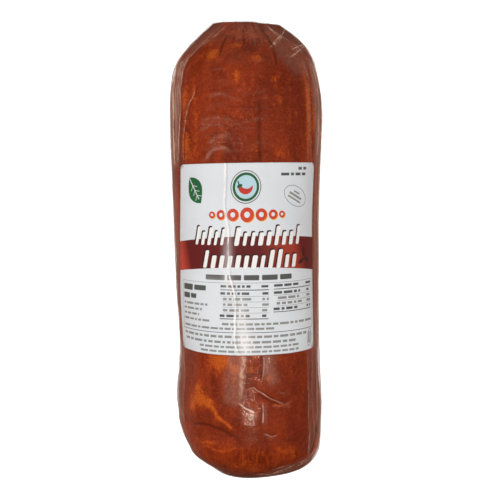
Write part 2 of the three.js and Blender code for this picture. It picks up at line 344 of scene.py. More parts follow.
# Fat that shows through the coat: angle, place along, half-sizes round and along, turn, strength
Spot = namedtuple("Spot", "angle y across along turn strength")
FAT_SPOTS = (
    Spot(-35, 126.5, 3.8, 5, 5, 0.95),
    Spot(-34, 119, 3, 4, 0, 0.3),
    Spot(-60, 126, 2.5, 4, 0, 0.5),
    Spot(-12, 132.5, 7, 3, 8, 0.6),
    Spot(9.5, 124, 7, 3.4, 0, 0.58),
    Spot(-8.4, 112, 2.2, 4.5, 6, 0.8),
    Spot(-8, 117, 4, 2, 0, 0.25),
    Spot(-45.5, 112, 1.6, 5, 0, 0.4),
    Spot(25, 109, 4, 5, 0, 0.4),
    Spot(80, 132, 3, 4, 0, 0.6),
    Spot(73, 120, 2, 5, 0, 0.6),
    Spot(61, 113, 1.8, 7, 0, 0.5),
    Spot(-43.5, 101, 1.6, 8, 8, 0.6),
    Spot(-41, 86, 3.5, 11, 2, 0.4),
    Spot(-41, 68, 4, 10, 0, 0.45),
    # Partly painted light: this broad fat spot lightens the gathered end's slopes, which face away from
    # the lights
    Spot(-8, 141, 36, 6, 0, 0.42),
    Spot(5, 94, 3, 18, 0, 0.3),
    Spot(-10, 85, 12, 11, 0, 0.25),
    Spot(27.4, 98, 4, 4, 0, 0.45),
    Spot(35, 84, 1.0, 1.6, 0, 0.6),
    Spot(41.5, 89, 1.2, 4, 0, 0.35),
    Spot(-41.6, 88.5, 1.2, 1.5, 0, 0.5),
    Spot(-31, 72.4, 1, 1.6, 0, 0.6),
    Spot(8, 68, 3, 4, 0, 0.5),
    Spot(28, 65, 4, 5, 0, 0.45),
    Spot(-26, 68.4, 4, 3, 0, 0.25),
    Spot(-3, 68, 5, 5, 0, 0.2),
    Spot(-51, 70, 4.5, 14, 0, 0.75),
    Spot(-53, 98, 4, 12, 0, 0.7),
    Spot(54, 88, 2.4, 34, 0, 0.85),
    Spot(60.5, 92, 3.0, 30, 0, 0.75),
    Spot(-21, -65.5, 9, 7, 0, 0.95),
    Spot(-9, -69.5, 5.5, 4.5, 0, 0.95),
    Spot(-41, -84, 4.5, 5, 0, 0.85),
    Spot(-40, -90, 8, 5.5, 0, 1.05),
    Spot(-48, -95, 4, 5, 0, 0.9),
    Spot(-32, -92, 5, 4.5, 0, 0.95),
    Spot(-22, -119, 15, 3.5, -8, 0.3),
    Spot(12, -125, 13, 4, 0, 0.34),
    Spot(38, -124, 7, 4, -20, 0.5),
    Spot(-34, -117.5, 10, 1.6, -6, 0.6),
    Spot(19, -75.5, 6, 2.5, 0, 0.45),
    Spot(36, -73, 8, 2.5, 12, 0.25),
    Spot(70, -90, 1.4, 2.6, 0, 1.0),
    Spot(28, -121.3, 2.2, 1.8, 0, 0.7),
    Spot(43.4, -128.5, 3, 2.2, -35, 0.6),
    Spot(4, -134, 20, 7, 0, 0.42),
    Spot(-1, -70, 12, 11, 0, 0.46),
    Spot(-52, 137, 9, 9, 0, 0.4),
    Spot(52, 136, 8, 7, 0, 0.3),
    Spot(-12, -75, 5, 7, 0, 0.5),
    Spot(-51, 84, 3, 6, 0, 0.6),
    Spot(-43, 127, 4, 6, 0, 0.35),
    Spot(8, -62, 4, 5, 0, 0.5),
    Spot(-12, -68, 5, 5, 0, 0.75),
    Spot(3, -69, 4, 6, 0, 0.75),
)
Streak = namedtuple("Streak", "path width strength")
FAT_STREAKS = (
    Streak(((-33.8, -91), (-27.3, -95), (-22.2, -101), (-15.6, -104.4), (-10.2, -109.4)), 1.8, 0.8),
    Streak(((20.8, -92.5), (27, -93.6), (33, -93.4), (37, -91.5)), 0.9, 0.6),
    Streak(((27.5, -84), (30.5, -84.4)), 0.8, 0.6),
    Streak(
        ((-44, -117), (-36.5, -119.3), (-28.8, -121.7), (-19.7, -122.8), (-9.3, -120.2), (-5, -117.5)),
        1.6, 0.55,
    ),
)

# Darker lean, and the narrow furrows and tucks that are darker still. Much of it is painted shade:
# the right side, dim under the lights, and the hollows of the furrow and the tucks
DARK_SPOTS = (
    # Partly painted shade: these broad spots darken the right side, which the lights leave dim
    Spot(30, 100, 18, 28, 0, 0.95),
    Spot(45, 96, 7, 30, 0, 0.95),
    Spot(33, 136, 9, 6, 0, 0.4),
    Spot(47, -112, 9, 16, 0, 1.0),
    Spot(42, -92, 12, 18, 0, 0.7),
    Spot(-36.4, -101, 7, 3.8, 0, 0.9),
    Spot(8, -88, 10, 4, 15, 0.45),
    Spot(4, -109, 10, 3.5, 0, 0.7),
    Spot(24, -98, 14, 8, 0, 0.35),
    Spot(-34, -108, 18, 3, 0, 0.5),
    Spot(-46, -66, 9, 7, 0, 0.5),
    Spot(64, -120, 6, 11, 0, 0.9),
    Spot(8, -105, 15, 5, 0, 0.55),
    Spot(4, -112, 12, 6, 0, 0.9),
    Spot(5, -87, 8, 3.5, 0, 0.9),
    Spot(57, -106, 5, 10, 0, 0.8),
    Spot(-42, -114, 11, 4.5, 0, 0.7),
    Spot(16, 64, 6, 5, 0, 0.8),
    Spot(10, -77, 5, 5, 0, 0.7),
)
DARK_STREAKS = (
    Streak(
        (
            (-56, -110), (-47, -108), (-39, -107), (-29, -107.2), (-19, -109.5), (-11, -112.5),
            (-3, -114),
        ),
        1.0, 0.75,
    ),
    Streak(((29, -115.6), (37, -116.6), (46, -117)), 0.9, 0.5),
    Streak(((22, 142), (20, 132)), 0.8, 0.3),
    Streak(((11.4, 100), (11.6, 83), (11.3, 58)), 1.5, 0.4),
    Streak(((4, -58), (5, -68), (4, -80)), 2.2, 0.12),
    Streak(((12.5, -92), (12.5, -106)), 0.7, 0.5),
)

# Where the film is doubled or milky, as outlines of angles and places, and painted light: some veils
# lighten shaded parts or paint the glare of the lights. Streaky ones run in fine lines along the log,
# and along the sides they are partly a painted reflection of the pale room.
Veil = namedtuple("Veil", "outline strength softness")
STREAKY_VEILS = (
    Veil(
        (
            (-57, 127), (-56.5, 108), (-55.8, 92), (-57, 80), (-60, 57),
            (-70, 57), (-71, 80), (-72, 100), (-73, 116), (-68, 124),
        ),
        0.68, 0.8,
    ),
    # Partly painted reflection of the pale room along both sides
    Veil(((65, 62), (64, 0), (65, -62), (80, -60), (84, 0), (80, 60)), 0.42, 3.0),
    Veil(((-65, 62), (-64, 0), (-65, -62), (-80, -60), (-84, 0), (-80, 60)), 0.2, 3.0),
    Veil(
        ((-44, 150), (-47, 138), (-54, 129), (-57, 122), (-66, 124), (-70, 136), (-75, 150)),
        0.2, 1.2,
    ),
    Veil(
        ((64, 127), (63, 112), (62, 98), (63, 57), (71, 57), (72, 90), (72, 110), (73, 124)),
        0.5, 0.9,
    ),
    Veil(
        ((59, 127), (60, 112), (59, 98), (61, 57), (65, 57), (64, 98), (65, 112), (66, 127)),
        0.2, 0.8,
    ),
    Veil(((53, -57), (54, -118), (58, -130), (66, -122), (68, -100), (70, -57)), 0.08, 1.0),
    Veil(((-80, 126), (-68, 121), (-66, 113), (-68, 106), (-84, 108)), 0.4, 1.4),
)
VEILS_AND_PAINTED_LIGHT = (
    # Partly painted light: milk over the pleats lightens slopes that face away from the lights
    Veil(
        ((-86, 152), (86, 152), (86, 136), (45, 130), (10, 135), (-20, 137), (-50, 134), (-86, 136)),
        0.12, 3.0,
    ),
    Veil(((76, 150), (55, 142), (40, 137), (34, 132), (50, 126), (76, 132)), 0.2, 2.0),
    Veil(((15, -57), (15.2, -74), (21, -80), (26, -77), (23, -68), (22.5, -57)), 0.32, 2.8),
    Veil(((14.9, -57), (14.9, -74), (19, -73), (20, -57)), 0.52, 1.2),
    Veil(((7, -57), (7, -65), (13, -65), (13, -57)), 0.14, 1.4),
    # Painted light: a faint veil lightens the top before the gathered end
    Veil(((-34, 138), (34, 138), (40, 118), (-34, 118)), 0.04, 4.0),
    Veil(((33, 148), (33, 124), (44, 114), (58, 116), (66, 130), (60, 148)), 0.22, 3.0),
    # Painted highlights: the lights' glare on the lower middle, as milk, with a halo and a bright core
    Veil(((-17, -72), (-17, -90), (-8, -93), (-3, -90), (-3, -80), (-7, -72)), 0.24, 2.0),
    Veil(((-15, -60), (-15, -72), (-9, -78), (-3, -78), (-2.2, -70), (-2, -57), (-8, -57)), 0.26, 1.2),
    Veil(((-8, -57), (-7, -72), (-6, -80), (-3, -80), (0, -70), (0.6, -57)), 0.36, 2.0),
    Veil(
        ((-3, -92), (3, -94), (9, -96.4), (10, -100), (7, -103.2), (1, -103.6), (-3, -100)),
        0.22, 2.0,
    ),
    Veil(((2.2, -95), (6.4, -96.6), (8, -99), (6.4, -101.6), (3, -102), (1.4, -99)), 0.95, 1.8),
    Veil(((14.2, -91), (14.2, -105), (17, -103), (17, -93)), 0.2, 1.0),
    Veil(
        (
            (20, -141), (31, -138), (45, -134), (64, -129), (72, -126), (70, -136), (40, -146),
            (22, -146),
        ),
        0.16, 1.2,
    ),
    Veil(((-60, -126), (-54, -130), (-44, -131), (-36, -138), (-52, -142)), 0.14, 1.4),
)

# Where the film is puckered finely over the rough coat, so that light glints on it
CRINKLED = Veil(((-34, -57), (-34, -84), (-14, -98), (20, -98), (36, -88), (36, -57)), 1.0, 4.0)
STRETCH_LINE_COUNT = 90
PLEAT_LINE_COUNT = 34
HIDDEN_SPOT_SEED = 5
HIDDEN_SPOT_COUNT = 46

# Shades of the print and the stage that aren't among the properties. The first two are painted
# light on the label: a painted highlight along its ridge, and painted shade beside it
PAINTED_HIGHLIGHT_TONE = (0.92, 0.88, 0.85, 1)
RIDGE_SHADE = (0.2, 0.18, 0.18, 1)
FLOOR_SHADE = (0.8, 0.8, 0.8, 1)
BACKDROP = (0.85, 0.85, 0.85, 1)
FLOOR_HALF = 3.0
FLOOR_LOW = -0.0006


def from_srgb(red, green, blue):
    """A colour as shaders take it, from its 0 to 255 values on a screen."""
    parts = []
    for value in (red, green, blue):
        share = value / 255
        parts.append(share / 12.92 if share <= 0.04045 else ((share + 0.055) / 1.055) ** 2.4)
    return tuple(parts)


# The form of the log

def hump(value, middle, spread):
    return np.exp(-(((value - middle) / spread) ** 2) / 2)


def progress(value, start, end):
    return np.clip((value - start) / (end - start), 0, 1)


def half_width(y, is_left):
    """A smooth curve through the outline's stations.

    It runs over the root of their distance from the round end, so that this end is round.
    """
    stations, left, right = np.array(OUTLINE).T
    widths = left if is_left else right
    places = np.sqrt(np.maximum(0, stations + LAST_Y))
    slopes = np.empty(len(places))
    slopes[1:-1] = (widths[2:] - widths[:-2]) / (places[2:] - places[:-2])
    slopes[0] = (widths[1] - widths[0]) / (places[1] - places[0])
    slopes[-1] = (widths[-1] - widths[-2]) / (places[-1] - places[-2])
    place = np.sqrt(np.maximum(0, y + LAST_Y))
    i = np.clip(np.searchsorted(places, place, side="right") - 1, 0, len(places) - 2)
    span = places[i + 1] - places[i]
    share = np.minimum(1, (place - places[i]) / span)
    square, cube = share**2, share**3
    return (
        (2 * cube - 3 * square + 1) * widths[i]
        + (cube - 2 * square + share) * span * slopes[i]
        + (3 * square - 2 * cube) * widths[i + 1]
        + (cube - square) * span * slopes[i + 1]
    )


def crown_and_belly(y):
    past = (y - TOP_SHOULDER_AT) / (LAST_Y - TOP_SHOULDER_AT)
    drawn = (past + np.hypot(past, TOP_SHOULDER_SOFTNESS)) / (1 + math.hypot(1, TOP_SHOULDER_SOFTNESS))
    gone = progress(y, ROUND_START, -LAST_Y)
    share = (1 - gone**ROUND_POWER) ** (1 / ROUND_ROOT)
    crown = CROWN_HEIGHT + (GATHERED_CROWN - CROWN_HEIGHT) * drawn
    belly = -SINK + (GATHERED_BELLY + SINK) * drawn
    above, below = (crown - WIDEST_HEIGHT) * share, (belly - WIDEST_HEIGHT) * share
    return WIDEST_HEIGHT + above, WIDEST_HEIGHT + below


def section_reach(angle, y):
    """How far the plain section reaches from the log's middle line."""
    across, up = np.sin(angle), np.cos(angle)
    width = np.where(across < 0, half_width(y, True), half_width(y, False))
    crown, belly = crown_and_belly(y)
    height = np.where(up > 0, crown - WIDEST_HEIGHT, WIDEST_HEIGHT - belly)
    width, height = np.maximum(width, 1e-6), np.maximum(height, 1e-6)
    sum_of_powers = np.abs(across / width) ** SECTION_POWER + np.abs(up / height) ** SECTION_POWER
    return sum_of_powers ** (-1 / SECTION_POWER)


def pleats(angle, y):
    rise = progress(y, LAST_Y - PLEAT_REACH, LAST_Y) ** 1.5
    return PLEAT_HEIGHT * rise * np.cos(PLEAT_COUNT * angle + PLEAT_DRIFT * np.sin(2 * angle + 0.5))


def furrow(angle, y):
    along = (angle / DEGREE - FURROW_FROM[0]) / (FURROW_TO[0] - FURROW_FROM[0])
    fade = np.sin(progress(along, -0.1, 1.1) * math.pi) ** 0.5
    depth = FURROW_DEPTH * fade * (1 - 0.6 * progress(along, 0.2, 0.7))
    middle = FURROW_FROM[1] + (FURROW_TO[1] - FURROW_FROM[1]) * along
    swell = SWELL_HEIGHT * fade * hump(y, SWELL_AT, SWELL_SPREAD)
    return swell - depth * hump(y, middle, FURROW_SPREAD)


def dents(angle, y):
    return DENT_HEIGHT * np.sin(y / DENT_ALONG + 2 * np.sin(angle)) * np.cos(3 * angle + y / 60)


def tails(angle, y):
    from_below = 180 - np.abs(angle / DEGREE)
    across = 1 - progress(from_below, TAIL_HALF_ANGLE - TAIL_EDGE, TAIL_HALF_ANGLE)
    along = progress(np.abs(y), LAST_Y - TAIL_REACH, LAST_Y - TAIL_REACH + TAIL_EDGE)
    return TAIL_HEIGHT * across * along


def log_point(angle, y, relief=0.0):
    """Points on the log, in millimetres round its middle, as an array of x, y and z."""
    reach = section_reach(angle, y) + relief
    height = np.maximum(0, WIDEST_HEIGHT + reach * np.cos(angle))
    return np.stack(np.broadcast_arrays(reach * np.sin(angle), y, height), -1)


def smooth_skin(angle, y):
    """The drawn skin with its broad relief alone, which the label lies on."""
    return log_point(angle, y, dents(angle, y) + furrow(angle, y))


def point_above(angle, y, lift):
    """Points that stand off the smooth skin along its normal."""
    step = 0.01
    here = smooth_skin(angle, y)
    around = smooth_skin(angle + step, y) - here
    along = smooth_skin(angle, y + step) - here
    normal = np.cross(around, along)
    normal /= np.linalg.norm(normal, axis=-1, keepdims=True)
    return here + normal * np.asarray(lift)[..., None]


def middle_line_x():
    """Where the log's middle line lies in the shared frame."""
    angle, y = np.meshgrid(np.linspace(-math.pi, math.pi, 361), np.linspace(-LAST_Y, LAST_Y, 305))
    across = smooth_skin(angle, y)[..., 0]
    return (BAG_LOW.x + BAG_HIGH.x) / 2 - (across.min() + across.max()) / 2 * MM


MIDDLE = np.array([middle_line_x(), (BAG_LOW.y + BAG_HIGH.y) / 2, BAG_LOW.z])


def in_frame(points):
    """Millimetres round the log's middle to metres in the shared frame."""
    return np.asarray(points, float).reshape(-1, 3) * MM + MIDDLE


# Creases and other relief of the film and the meat

def smooth_path(path, step=1.5):
    """A path through the given angles and places, rounded at its corners, with close points."""
    knots = np.array(path, float)
    knots = np.vstack([2 * knots[0] - knots[1], knots, 2 * knots[-1] - knots[-2]])
    run = []
    for before, start, end, after in zip(knots, knots[1:], knots[2:], knots[3:]):
        size = math.hypot((end[0] - start[0]) * 0.8, end[1] - start[1])
        count = max(2, int(size / step))
        share = (np.arange(count) / count)[:, None]
        run.append(
            0.5
            * (
                2 * start
                + (end - before) * share
                + (2 * before - 5 * start + 4 * end - after) * share**2
                + (3 * start - before - 3 * end + after) * share**3
            )
        )
    run.append(knots[-2:-1])
    return np.vstack(run)


def distance_to_path(points, path):
    """How far points lie from a path of points, and how far along it, from 0 to 1."""
    nearest = np.full(len(points), np.inf)
    along = np.zeros(len(points))
    for i, (start, end) in enumerate(zip(path, path[1:])):
        span = end - start
        share = np.clip((points - start) @ span / max(span @ span, 1e-9), 0, 1)
        gap = np.linalg.norm(points - start - share[:, None] * span, axis=1)
        closer = gap < nearest
        nearest[closer] = gap[closer]
        along[closer] = (i + share[closer]) / (len(path) - 1)
    return nearest, along


def close_to(points, line, margin):
    """Which points lie in the box round a line of points, widened by a margin."""
    return ((points > line.min(0) - margin) & (points < line.max(0) + margin)).all(-1)


def tapered(along):
    """1 over the middle of a path, and falling to 0 at its ends."""
    return np.sin(np.minimum(1, np.minimum(along, 1 - along) / TAPER) * math.pi / 2)


def crease_relief(creases, angle, y):
    """The relief that a list of creases adds to the film, at each angle and place."""
    total = np.zeros(angle.shape)
    points = log_point(angle, y)
    for crease in creases:
        path = smooth_path(crease.path)
        line = log_point(path[:, 0] * DEGREE, path[:, 1])
        near = close_to(points, line, 5 * crease.reach)
        if not near.any():
            continue
        gap, along = distance_to_path(points[near], line)
        shape = np.exp(-gap / crease.reach) if crease.sharp else np.exp(-((gap / crease.reach) ** 2))
        total[near] += crease.height * tapered(along) * shape
    return total


def crest_lines(creases, angle, y):
    """How far each place lies to one side of the nearest crest, over its width, and its painted light.
    """
    gaps = np.full(angle.shape, LINE_LIMIT)
    glows = np.zeros(angle.shape)
    points = log_point(angle, y)
    outward = np.stack([np.sin(angle), 0 * angle, np.cos(angle)], -1)
    for crease in creases:
        path = smooth_path(crease.path, 1.0)
        line = log_point(path[:, 0] * DEGREE, path[:, 1])
        near = close_to(points, line, LINE_LIMIT * crease.width)
        if crease.glow == 0 or not near.any():
            continue
        here = points[near]
        gap, along = distance_to_path(here, line)
        step = np.clip((along * (len(line) - 1)).astype(int), 0, len(line) - 2)
        side = np.cross(line[step + 1] - line[step], here - line[step])
        signed = np.copysign(gap, (side * outward[near]).sum(-1)) / crease.width
        closer = np.abs(signed) < np.abs(gaps[near])
        gaps[near] = np.where(closer, signed, gaps[near])
        glow = crease.glow * tapered(along) * (1 - progress(np.abs(signed), LINE_LIMIT - 1, LINE_LIMIT))
        glows[near] = np.where(closer, glow, glows[near])
    return gaps, glows


def pleat_lines(seed, count):
    """Fine lines that fan out from the gathered edge, some painted highlights and some painted shade.
    """
    draw = np.random.default_rng(seed)
    made = []
    for _ in range(count):
        angle, size = draw.uniform(-86, 86), draw.uniform(6, 20)
        drift, bend = draw.uniform(0.02, 0.2) * angle, draw.uniform(-2.5, 2.5)
        path = (
            (angle, LAST_Y - 1),
            (angle + drift / 2 + bend, LAST_Y - 1 - size / 2),
            (angle + drift, LAST_Y - 1 - size),
        )
        glow = draw.uniform(0.02, 0.08) if draw.random() < 0.45 else draw.uniform(-0.45, -0.1)
        height = math.copysign(draw.uniform(0.1, 0.3), glow)
        made.append(Crease(path, height, 0.7, glow > 0, glow, 0.45))
    return tuple(made)


def random_wrinkles(seed, count):
    """Small creases strewn over the film, mostly across the log."""
    draw = np.random.default_rng(seed)
    made = []
    for _ in range(count):
        angle = draw.uniform(-175, 175)
        y = draw.uniform(-LAST_Y + 12, LAST_Y - 6)
        turn = draw.normal(0, 0.5) if draw.random() < 0.7 else draw.normal(math.pi / 2, 0.3)
        half = draw.uniform(2.5, 9)
        bend = draw.normal(0, 0.18) * half
        across, up = math.cos(turn), math.sin(turn)
        path = []
        for side in (-1, 0, 1):
            s = side * half
            b = bend * (1 - side * side)
            path.append((angle + (s * across - b * up) / MM_PER_DEGREE, y + s * up + b * across))
        made.append(Crease(tuple(path), draw.uniform(0.05, 0.2), draw.uniform(0.7, 1.3), False))
    return made


def label_share(angle, y):
    """1 under the label and 0 well clear of it."""
    half_angle = LABEL_WIDTH / 2 / (LABEL_RADIUS_BOTTOM + LABEL_RADIUS_TOP) * 2 / DEGREE
    across = 1 - progress(np.abs(angle / DEGREE - LABEL_CENTRE_ANGLE), half_angle, half_angle + 3)
    along = 1 - progress(np.abs(y - LABEL_CENTRE_Y), LABEL_LENGTH / 2 + 0.5, LABEL_LENGTH / 2 + 2.5)
    return across * along


def fine_noise(points, size, octaves=3):
    """Smooth noise from about -1 to 1, with lumps of a size in millimetres."""
    scale = 1 / size
    values = [noise.fractal(Vector(p) * scale, 1.0, 2.0, octaves) for p in points.reshape(-1, 3)]
    return np.array(values).reshape(points.shape[:-1])


def skin_grid():
    """Angles and places of a skin's rings, from the round end to the gathered edge."""
    quarter = np.arange(ROUND_RINGS - 1, 0, -1) / ROUND_RINGS * math.pi / 2
    start = ROUND_START
    stations = [start - np.sin(quarter) * (LAST_Y + start)]
    for end, count in RING_RUNS:
        stations.append(np.linspace(start, end, count, endpoint=False))
        start = end
    stations.append([LAST_Y])
    half = LOWER_COLUMNS // 2
    left = np.linspace(-180, -UPPER_ANGLE, half, endpoint=False)
    upper = np.linspace(-UPPER_ANGLE, UPPER_ANGLE, UPPER_COLUMNS, endpoint=False)
    right = np.linspace(UPPER_ANGLE, 180, half, endpoint=False)
    return np.meshgrid(np.concatenate([left, upper, right]) * DEGREE, np.concatenate(stations))


def edge_drop(angle, y):
    """How far the gathered edge falls short of the log's full length."""
    slope_from, slope_to, slope = EDGE_SLOPE
    across = progress(angle / DEGREE, slope_from, slope_to)
    return slope * across * progress(y, LAST_Y - EDGE_REACH, LAST_Y) ** 2


def film_relief(angle, y, strength, wrinkle_seed, wrinkle_count):
    """The film's relief. It's tight under the label, calm below, and spans the furrow's middle."""
    creases = crease_relief(FILM_CREASES + pleat_lines(wrinkle_seed, PLEAT_LINE_COUNT), angle, y)
    wrinkles = crease_relief(random_wrinkles(wrinkle_seed, wrinkle_count), angle, y)
    points = log_point(angle, y)
    ripple = FILM_RIPPLE[0] * fine_noise(points, FILM_RIPPLE[1])
    sway = FILM_SWAY[0] * fine_noise(points * (1, 0.5, 1), FILM_SWAY[1])
    loose = (creases + wrinkles + (ripple + sway)) * strength * (1 - label_share(angle, y))
    below = progress(np.abs(angle / DEGREE), *CALM_ANGLES)
    followed = FILM_FURROW_SHARE - SPANNED_SHARE * hump(angle / DEGREE, SPANNED_AT, SPANNED_SPREAD)
    broad = pleats(angle, y) + dents(angle, y) + tails(angle, y) + followed * furrow(angle, y)
    return broad + loose * (1 - CALM_SHARE * below)


def meat_relief(angle, y):
    """The meat's relief, with fibres past the furrow, and hollows where the film stands clear."""
    points = log_point(angle, y)
    lumps = MEAT_LUMPS[0] * fine_noise(points, MEAT_LUMPS[1])
    bumps = MEAT_BUMPS[0] * fine_noise(points, MEAT_BUMPS[1])
    fibres = MEAT_FIBRES[0] * fine_noise(points * (1, 0.12, 1), MEAT_FIBRES[1], 2)
    fibres = fibres * progress(-y, *FIBRES_FROM)
    gaps = 0
    for pocket in POCKETS:
        around = hump(angle / DEGREE, pocket.angle, pocket.round_spread)
        gaps = gaps + pocket.depth * around * hump(y, pocket.y, pocket.spread)
    tucks = MEAT_TUCK * streaks(angle, y, DARK_STREAKS)
    broad = dents(angle, y) + MEAT_FURROW_SHARE * furrow(angle, y)
    return broad + (lumps + bumps) + fibres - gaps - tucks


def streaks(angle, y, made):
    """How strongly a list of soft lines covers each place, from 0 to 1."""
    creases = [Crease(streak.path, streak.strength, streak.width, False) for streak in made]
    return np.clip(crease_relief(creases, angle, y), 0, 1)


def inside_outline(outline, angle, y, softness):
    """1 inside an outline of angles and places and 0 outside it, with a soft edge in millimetres."""
    corners = np.array(outline, float) * (MM_PER_DEGREE, 1)
    s, t = angle / DEGREE * MM_PER_DEGREE, y
    low, high = corners.min(0) - 4 * softness, corners.max(0) + 4 * softness
    near = (s > low[0]) & (s < high[0]) & (t > low[1]) & (t < high[1])
    flat = np.stack([s[near], t[near]], -1)
    gap, _ = distance_to_path(flat, np.vstack([corners, corners[:1]]))
    inside = np.zeros(len(flat), bool)
    for (s_a, t_a), (s_b, t_b) in zip(corners, np.roll(corners, -1, 0)):
        crosses = (t_a > flat[:, 1]) != (t_b > flat[:, 1])
        inside ^= crosses & (flat[:, 0] < s_a + (flat[:, 1] - t_a) / (t_b - t_a + 1e-12) * (s_b - s_a))
    share = np.zeros(angle.shape)
    share[near] = 1 / (1 + np.exp(-np.where(inside, gap, -gap) / softness * 2))
    return share


def veiled(areas, angle, y):
    """How strongly a list of veils covers each place that the label leaves bare."""
    total = np.zeros(angle.shape)
    for area in areas:
        total = np.maximum(total, area.strength * inside_outline(area.outline, angle, y, area.softness))
    return total * (1 - label_share(angle, y))


def stretch_lines(seed, count):
    """Faint milky lines across the upper part, where the film was drawn tight."""
    draw = np.random.default_rng(seed)
    lines = []
    for _ in range(count):
        middle, place, half = draw.uniform(-34, 20), draw.uniform(60, 126), draw.uniform(3, 9)
        tilt, bend = draw.uniform(-0.6, 1.4), draw.uniform(0.4, 1.6)
        ends = (
            (middle - half, place - tilt - bend),
            (middle, place),
            (middle + half, place + tilt - bend),
        )
        lines.append(Crease(ends, draw.uniform(0.03, 0.1), 0.4, False))
    return lines


def closed_skin(name, rings, first_pole, last_pole):
    """A closed mesh from rings of points, with a pole at each end."""
    count, wide = rings.shape[:2]
    points = np.vstack([rings.reshape(-1, 3), first_pole, last_pole])
    column = np.arange(wide)
    following = (column + 1) % wide
    faces = []
    for ring in range(count - 1):
        low, high = ring * wide, (ring + 1) * wide
        faces += np.stack([low + column, low + following, high + following, high + column], 1).tolist()
    first, last, top = count * wide, count * wide + 1, (count - 1) * wide
    faces += np.stack([np.full(wide, first), following, column], 1).tolist()
    faces += np.stack([np.full(wide, last), top + column, top + following], 1).tolist()
    return mesh_object(name, in_frame(points), faces)


def mesh_object(name, points, faces, smooth=True):
    mesh = bpy.data.meshes.new(name)
    mesh.from_pydata(points.tolist(), [], faces)
    mesh.polygons.foreach_set("use_smooth", [smooth] * len(mesh.polygons))
    mesh.update()
    piece = bpy.data.objects.new(name, mesh)
    bpy.context.scene.collection.objects.link(piece)
    return piece


def attribute_of(piece, name, values):
    made = piece.data.attributes.new(name, "FLOAT", "POINT")
    made.data.foreach_set("value", np.asarray(values, np.float32).ravel())


# Materials

def new_material(name):
    material = bpy.data.materials.new(name)
    material.use_nodes = True
    material.node_tree.nodes.clear()
    return material, material.node_tree


def node(tree, kind, inputs=None, **settings):
    """Adds a node. An input that is a socket is linked, and any other is set."""
    made = tree.nodes.new(kind)
    for key, value in settings.items():
        setattr(made, key, value)
    for key, value in (inputs or {}).items():
        if isinstance(value, bpy.types.NodeSocket):
            tree.links.new(value, made.inputs[key])
        else:
            made.inputs[key].default_value = value
    return made


def ramp(tree, factor, stops):
    """A colour ramp's factor from a list of places and greys."""
    made = tree.nodes.new("ShaderNodeValToRGB")
    elements = made.color_ramp.elements
    while len(elements) < len(stops):
        elements.new(0.5)
    for element, (place, value) in zip(elements, stops):
        element.position = place
        element.color = (value, value, value, 1)
    tree.links.new(factor, made.inputs["Fac"])
    return made.outputs["Color"]


def math_node(tree, operation, first, second=0.0, clamp=False):
    made = node(tree, "ShaderNodeMath", {0: first, 1: second}, operation=operation, use_clamp=clamp)
    return made.outputs[0]


def plus(tree, first, second, clamp=False):
    return math_node(tree, "ADD", first, second, clamp)


def minus(tree, first, second, clamp=False):
    return math_node(tree, "SUBTRACT", first, second, clamp)


def times(tree, first, second, clamp=False):
    return math_node(tree, "MULTIPLY", first, second, clamp)


def largest(tree, first, second):
    return math_node(tree, "MAXIMUM", first, second)


def mix_colour(tree, factor, first, second, blend="MIX"):
    inputs = {0: factor, 6: first, 7: second}
    made = node(tree, "ShaderNodeMix", inputs, data_type="RGBA", blend_type=blend)
    return made.outputs[2]


def noise_texture(tree, vector, scale, detail, roughness, distortion=0.0):
    inputs = {
        "Vector": vector,
        "Scale": scale,
        "Detail": detail,
        "Roughness": roughness,
        "Distortion": distortion,
    }
    return node(tree, "ShaderNodeTexNoise", inputs).outputs["Fac"]


def stretched(tree, vector, scale, turn=(0, 0, 0)):
    inputs = {"Vector": vector, "Rotation": turn, "Scale": scale}
    return node(tree, "ShaderNodeMapping", inputs).outputs["Vector"]


def bump(tree, height, strength, distance):
    inputs = {"Height": height, "Strength": strength, "Distance": distance}
    return node(tree, "ShaderNodeBump", inputs).outputs["Normal"]


def attribute(tree, name):
    return node(tree, "ShaderNodeAttribute", attribute_name=name).outputs["Fac"]


def opaque(colour):
    return (*colour[:3], 1)


